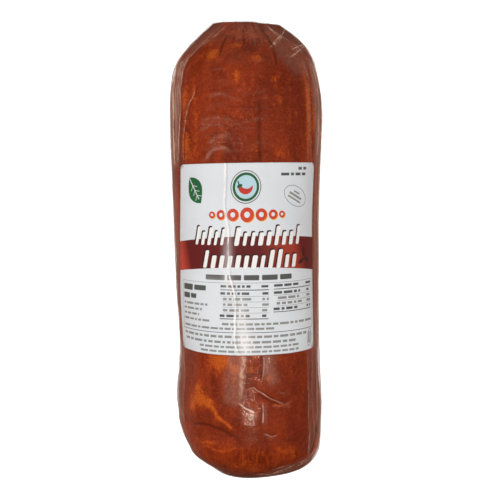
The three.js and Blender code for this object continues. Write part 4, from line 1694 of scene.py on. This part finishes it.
def make_tail(name, from_y, to_y, look):
    """The bag's flat end, sealed across and folded against the underside."""
    half_angle = TAIL_HALF_ANGLE - TAIL_INSET
    angle = (180 + np.linspace(-half_angle, half_angle, TAIL_COLUMNS + 1)) * DEGREE
    angle, y = np.meshgrid(angle, np.linspace(from_y, to_y, TAIL_ROWS + 1))
    share = np.linspace(0, 1, TAIL_ROWS + 1)[:, None]
    seal = SEAL_HEIGHT * np.cos(share * 2 * math.pi * SEAL_RIBS) * hump(share, 0.2, 0.07)
    ruck = SEAL_HEIGHT * np.sin(angle * 37 + share * 4) * share
    base = tails(angle, y) + dents(angle, y) + TAIL_THICKNESS + seal + ruck
    layers = []
    for lift in (0.0, TAIL_THICKNESS):
        points = log_point(np.mod(angle + math.pi, 2 * math.pi) - math.pi, y, base + lift)
        points[..., 2] = np.maximum(points[..., 2], 0.02)
        layers.append(points.reshape(-1, 3))
    faces = tail_faces(angle.size, 1 if to_y > from_y else -1)
    piece = mesh_object(name, in_frame(np.concatenate(layers)), faces)
    piece.data.materials.append(film_material(look, name + "_film", TAIL_HAZE))
    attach(piece, BODY)


def make_label(look):
    inks = {
        "stock": print_material("label_stock", look.stock, 0.38, 0.03),
        "band": band_material(look),
        "title": print_material("label_title", look.title, 0.38, 0.02),
    }
    for ink in ("shadow", "ink", "small", "rule", "green", "red", "pale_blue", "orange", "yellow"):
        long_name = "small_print" if ink == "small" else ink
        inks[ink] = print_material("label_" + long_name, getattr(look, long_name))
    piece = label_mesh(inks)
    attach(piece, BODY)
    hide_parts("label")


def make_floor(look):
    sides = ((-1, -1), (1, -1), (1, 1), (-1, 1))
    corners = [(x * FLOOR_HALF, y * FLOOR_HALF, FLOOR_LOW) for x, y in sides]
    floor = mesh_object("floor", np.array(corners), [[0, 1, 2, 3]], False)
    material, tree = new_material("pale_table")
    place = node(tree, "ShaderNodeTexCoord").outputs["Object"]
    cloud = noise_texture(tree, place, 3, 2, 0.5)
    shader = node(
        tree,
        "ShaderNodeBsdfPrincipled",
        {
            "Base Color": mix_colour(tree, times(tree, cloud, 0.02), opaque(look.floor), FLOOR_SHADE),
            "Roughness": 0.9,
            "Specular IOR Level": 0.1,
            "Emission Color": (1, 1, 1, 1),
            "Emission Strength": look.floor_glow,
        },
    )
    node(tree, "ShaderNodeOutputMaterial", {"Surface": shader.outputs["BSDF"]})
    floor.data.materials.append(material)
    floor.visible_glossy = False
    floor.visible_diffuse = False


def area_light(name, place, target, size, power, shows_in_gloss, tone=(1, 1, 1)):
    light = bpy.data.lights.new(name, "AREA")
    light.shape = "ELLIPSE" if shows_in_gloss else "RECTANGLE"
    light.size, light.size_y = size
    light.energy = power
    light.color = tone
    lamp = bpy.data.objects.new(name, light)
    lamp.location = place
    lamp.rotation_euler = (Vector(target) - Vector(place)).to_track_quat("-Z", "Y").to_euler()
    lamp.visible_glossy = shows_in_gloss
    bpy.context.scene.collection.objects.link(lamp)


def make_lights(look):
    """Three broad lights that don't show in the gloss, and two small ones that do."""
    centre, warm = (0, 0, 0.04), look.room_tone
    area_light("overhead", (0, 0, 1.5), centre, (1.6, 1.6), look.overhead_power, False)
    area_light("left_fill", (-1.1, 0.1, 0.9), centre, (1.0, 1.4), look.left_power, False)
    area_light("right_fill", (1.1, 0.1, 0.9), centre, (1.0, 1.4), look.right_power, False)
    place, target = (0.1, -0.243, 0.7), (0, -0.1, 0.08)
    area_light("soft_box", place, target, (0.12, 0.02), look.soft_box_power, True, warm)
    place, target = (0.01, -0.165, 0.72), (0, -0.08, 0.08)
    area_light("soft_panel", place, target, (0.16, 0.11), look.panel_power, True, warm)
    make_surroundings(look)


def make_surroundings(look):
    """A dim room that is pale round the table's edge, with a pale backdrop."""
    world = bpy.data.worlds.new("studio")
    bpy.context.scene.world = world
    world.use_nodes = True
    tree = world.node_tree
    tree.nodes.clear()
    direction = node(tree, "ShaderNodeTexCoord").outputs["Generated"]
    _, along, upward = node(tree, "ShaderNodeSeparateXYZ", {0: direction}).outputs
    height = plus(tree, times(tree, upward, 0.5), 0.5)
    low, high = look.table_edge, look.surround
    stops = [(0, 1.2 * low), (0.06, low), (0.13, 0.7 * low), (0.2, low), (0.48, low), (0.53, high)]
    endways = ramp(tree, math_node(tree, "ABSOLUTE", along), [(0.3, 1), (0.7, 0.12)])
    room = times(tree, ramp(tree, height, stops), endways)
    warm = mix_colour(tree, 1.0, room, opaque(look.room_tone), "MULTIPLY")
    camera_ray = node(tree, "ShaderNodeLightPath").outputs["Is Camera Ray"]
    tone = mix_colour(tree, camera_ray, warm, BACKDROP)
    background = node(tree, "ShaderNodeBackground", {"Color": tone})
    node(tree, "ShaderNodeOutputWorld", {"Surface": background.outputs[0]})


# The camera looks down on the log from the distance that the photo's perspective gives
CAMERA_PLACE = Vector((2.7, 43.0, 650.0))
CAMERA_TARGET = Vector((2.7, 2.0, 43.0))
CAMERA_SENSOR = 36.0
CAMERA_LENS = 65.7


def make_camera():
    data = bpy.data.cameras.new("camera")
    data.sensor_width = CAMERA_SENSOR
    data.lens = CAMERA_LENS
    data.clip_start, data.clip_end = 0.01, 20
    camera = bpy.data.objects.new("camera", data)
    place, target = (Vector(in_frame(p)[0]) for p in (CAMERA_PLACE, CAMERA_TARGET))
    camera.location = place
    back = (place - target).normalized()
    right = Vector((0, 1, 0)).cross(back).normalized()
    camera.rotation_euler = Matrix((right, back.cross(right), back)).transposed().to_euler()
    bpy.context.scene.collection.objects.link(camera)
    bpy.context.scene.camera = camera


# Properties, operators and panel

def colour_property(name, description, colour):
    return FloatVectorProperty(
        name=name, description=description, default=colour, size=3, subtype="COLOR", min=0, max=1
    )


def share_property(name, description, share):
    return FloatProperty(name=name, description=description, default=share, min=0, max=1)


def amount_property(name, description, amount):
    return FloatProperty(name=name, description=description, default=amount, min=0)


def power_property(name, description, power):
    return FloatProperty(name=name, description=description, default=power, min=0, unit="POWER")


class CoppaSizes(bpy.types.PropertyGroup):
    """Sizes of the log and its film."""

    film_gap: FloatProperty(
        name="Film gap",
        description="Space between the meat and the film, in millimetres",
        default=0.5,
        min=0.1,
    )
    crease_strength: amount_property(
        "Crease strength", "Height of the film's creases against the usual", 1.0
    )
    wrinkle_seed: IntProperty(name="Wrinkle seed", description="Seed of the small wrinkles", default=3)
    wrinkle_count: IntProperty(
        name="Wrinkles",
        description="Number of small wrinkles",
        default=150,
        min=0,
    )


class CoppaMeatLook(bpy.types.PropertyGroup):
    """Colours of the meat."""

    lean: colour_property("Lean", "Coated lean meat", from_srgb(154, 55, 22))
    # Dark lean is also the colour of painted shade on the meat
    lean_dark: colour_property("Dark lean", "Darker lean meat", from_srgb(112, 35, 14))
    coat_light: colour_property(
        "Light coat", "Lighter, drier parts of the coat", from_srgb(170, 77, 42)
    )
    thin_fat: colour_property("Thin fat", "Thin or deeply coated fat", from_srgb(172, 62, 19))
    fat: colour_property("Fat", "Fat that shows through the paprika", from_srgb(191, 88, 26))
    dry_coat: colour_property("Dry coat", "Dusty specks of the coat", from_srgb(188, 106, 72))
    # Spice is also the colour of the painted shade in the tucks
    spice: colour_property("Spice", "Specks of ground spice", from_srgb(62, 20, 12))


class CoppaFilmLook(bpy.types.PropertyGroup):
    """Finish of the film."""

    tint: colour_property("Tint", "Colour of light through the film", (0.97, 0.96, 0.95))
    # Milk is also the colour of painted light: glare of the lights and lightening over shaded parts
    milk: colour_property("Milk", "Colour of the film's slight haze", (0.6, 0.34, 0.25))
    # The colour of the painted highlights along the crests
    crest_light: colour_property(
        "Crest light", "Colour of the bright lines along crests", (0.76, 0.4, 0.28)
    )
    # Painted shade: light through the film beside crests and in valleys takes this colour
    crest_shade: colour_property(
        "Crest shade", "Light through the dark side of a crest", (0.22, 0.1, 0.07)
    )
    haze: share_property("Haze", "Share of haze in the film", 0.004)
    edge_haze: share_property(
        # Partly a painted reflection of the pale room, where the film is seen along its surface
        "Edge haze", "Share of haze where the film is seen along its surface", 0.12
    )
    roughness: share_property("Roughness", "Roughness of the film", 0.17)
    face_on_gloss: share_property(
        "Face-on gloss", "Share of light that the film reflects face on", 0.045
    )
    ripple: amount_property("Ripple", "Strength of the film's fine ripples", 0.5)


class CoppaLabelLook(bpy.types.PropertyGroup):
    """Colours of the label's print."""

    stock: colour_property("Stock", "White label stock", from_srgb(214, 218, 221))
    band_dark: colour_property("Band", "Maroon of the band", from_srgb(98, 26, 24))
    band_red: colour_property("Band's end", "Red of the band's left end", from_srgb(188, 62, 48))
    band_glow: colour_property("Band's glow", "Glow near the band's right end", from_srgb(156, 54, 34))
    title: colour_property("Title", "White slabs on the band", from_srgb(232, 230, 226))
    shadow: colour_property("Shadow", "Shadows behind the slabs", from_srgb(58, 28, 28))
    ink: colour_property("Ink", "Heavy print", from_srgb(84, 84, 82))
    small_print: colour_property("Small print", "Bars of small print", from_srgb(138, 138, 135))
    rule: colour_property("Rules", "Thin rules and rings", from_srgb(110, 110, 108))
    green: colour_property("Green", "Leaf and seal", from_srgb(36, 96, 52))
    red: colour_property("Red", "Pepper on the seal", from_srgb(190, 52, 34))
    pale_blue: colour_property("Pale blue", "Ground of the seal", from_srgb(176, 206, 214))
    orange: colour_property("Orange", "Beads above the title", from_srgb(200, 62, 32))
    yellow: colour_property("Yellow", "Bright edges of the beads", from_srgb(228, 158, 52))


class CoppaStageLook(bpy.types.PropertyGroup):
    """Floor and lights."""

    floor: colour_property("Floor", "Pale table", (0.94, 0.94, 0.94))
    floor_glow: amount_property("Floor glow", "Light that the floor gives off", 0.65)
    overhead_power: power_property("Overhead", "Power of the overhead light", 14.8)
    left_power: power_property("Left fill", "Power of the left light", 12.0)
    right_power: power_property("Right fill", "Power of the right light", 8.2)
    room_tone: colour_property("Room tone", "Warm tone of the room around the table", (1.0, 0.66, 0.52))
    soft_box_power: power_property("Soft box", "Power of the narrow light that shows in the film", 0.18)
    panel_power: power_property("Soft panel", "Power of the wider light that shows in the film", 0.028)
    surround: amount_property("Surround", "Brightness of the room above", 0.06)
    table_edge: amount_property("Table edge", "Brightness of the room below", 0.45)


class COPPA_OT_meat(bpy.types.Operator):
    """Makes the coated meat inside the bag"""

    bl_idname = "coppa.meat"
    bl_label = "Make Meat"

    def execute(self, context):
        scene = context.scene
        make_meat(scene.coppa_sizes, scene.coppa_meat)
        return {"FINISHED"}


class COPPA_OT_film(bpy.types.Operator):
    """Makes the clear shrink film, drawn tight over the meat"""

    bl_idname = "coppa.film"
    bl_label = "Make Film"

    def execute(self, context):
        scene = context.scene
        make_film(scene.coppa_sizes, scene.coppa_film)
        return {"FINISHED"}


class COPPA_OT_tails(bpy.types.Operator):
    """Makes the two flat ends of the bag, folded under the log"""

    bl_idname = "coppa.tails"
    bl_label = "Make Folded Tails"

    def execute(self, context):
        look = context.scene.coppa_film
        inner = LAST_Y - TAIL_REACH + TAIL_INNER_GAP
        make_tail("gathered_tail", inner, LAST_Y - GATHERED_TAIL_GAP, look)
        make_tail("round_tail", -inner, -LAST_Y + ROUND_TAIL_GAP, look)
        return {"FINISHED"}


class COPPA_OT_label(bpy.types.Operator):
    """Makes the printed label"""

    bl_idname = "coppa.label"
    bl_label = "Make Label"

    def execute(self, context):
        make_label(context.scene.coppa_label)
        return {"FINISHED"}


class COPPA_OT_stage(bpy.types.Operator):
    """Makes the floor, the lights and the camera"""

    bl_idname = "coppa.stage"
    bl_label = "Make Stage"

    def execute(self, context):
        look = context.scene.coppa_stage
        make_floor(look)
        make_lights(look)
        make_camera()
        context.scene.view_settings.view_transform = "Standard"
        return {"FINISHED"}


GROUPS = {
    "coppa_sizes": CoppaSizes,
    "coppa_meat": CoppaMeatLook,
    "coppa_film": CoppaFilmLook,
    "coppa_label": CoppaLabelLook,
    "coppa_stage": CoppaStageLook,
}
OPERATORS = (COPPA_OT_meat, COPPA_OT_film, COPPA_OT_tails, COPPA_OT_label, COPPA_OT_stage)


class COPPA_PT_panel(bpy.types.Panel):
    """Lists the sizes, the colours and the pieces"""

    bl_idname = "COPPA_PT_panel"
    bl_label = "Coppa"
    bl_space_type = "VIEW_3D"
    bl_region_type = "UI"
    bl_category = "Coppa"

    def draw(self, context):
        for group, kind in GROUPS.items():
            box = self.layout.box()
            for name in kind.__annotations__:
                box.prop(getattr(context.scene, group), name)
        for operator in OPERATORS:
            self.layout.operator(operator.bl_idname)


def register():
    for kind in (*GROUPS.values(), *OPERATORS, COPPA_PT_panel):
        bpy.utils.register_class(kind)
    for name, kind in GROUPS.items():
        setattr(bpy.types.Scene, name, PointerProperty(type=kind))


def unregister():
    for name in GROUPS:
        delattr(bpy.types.Scene, name)
    for kind in (COPPA_PT_panel, *OPERATORS[::-1], *list(GROUPS.values())[::-1]):
        bpy.utils.unregister_class(kind)


def main():
    register()
    bpy.ops.coppa.stage()
    bpy.ops.coppa.meat()
    bpy.ops.coppa.film()
    bpy.ops.coppa.tails()
    bpy.ops.coppa.label()


if __name__ == "__main__":
    main()
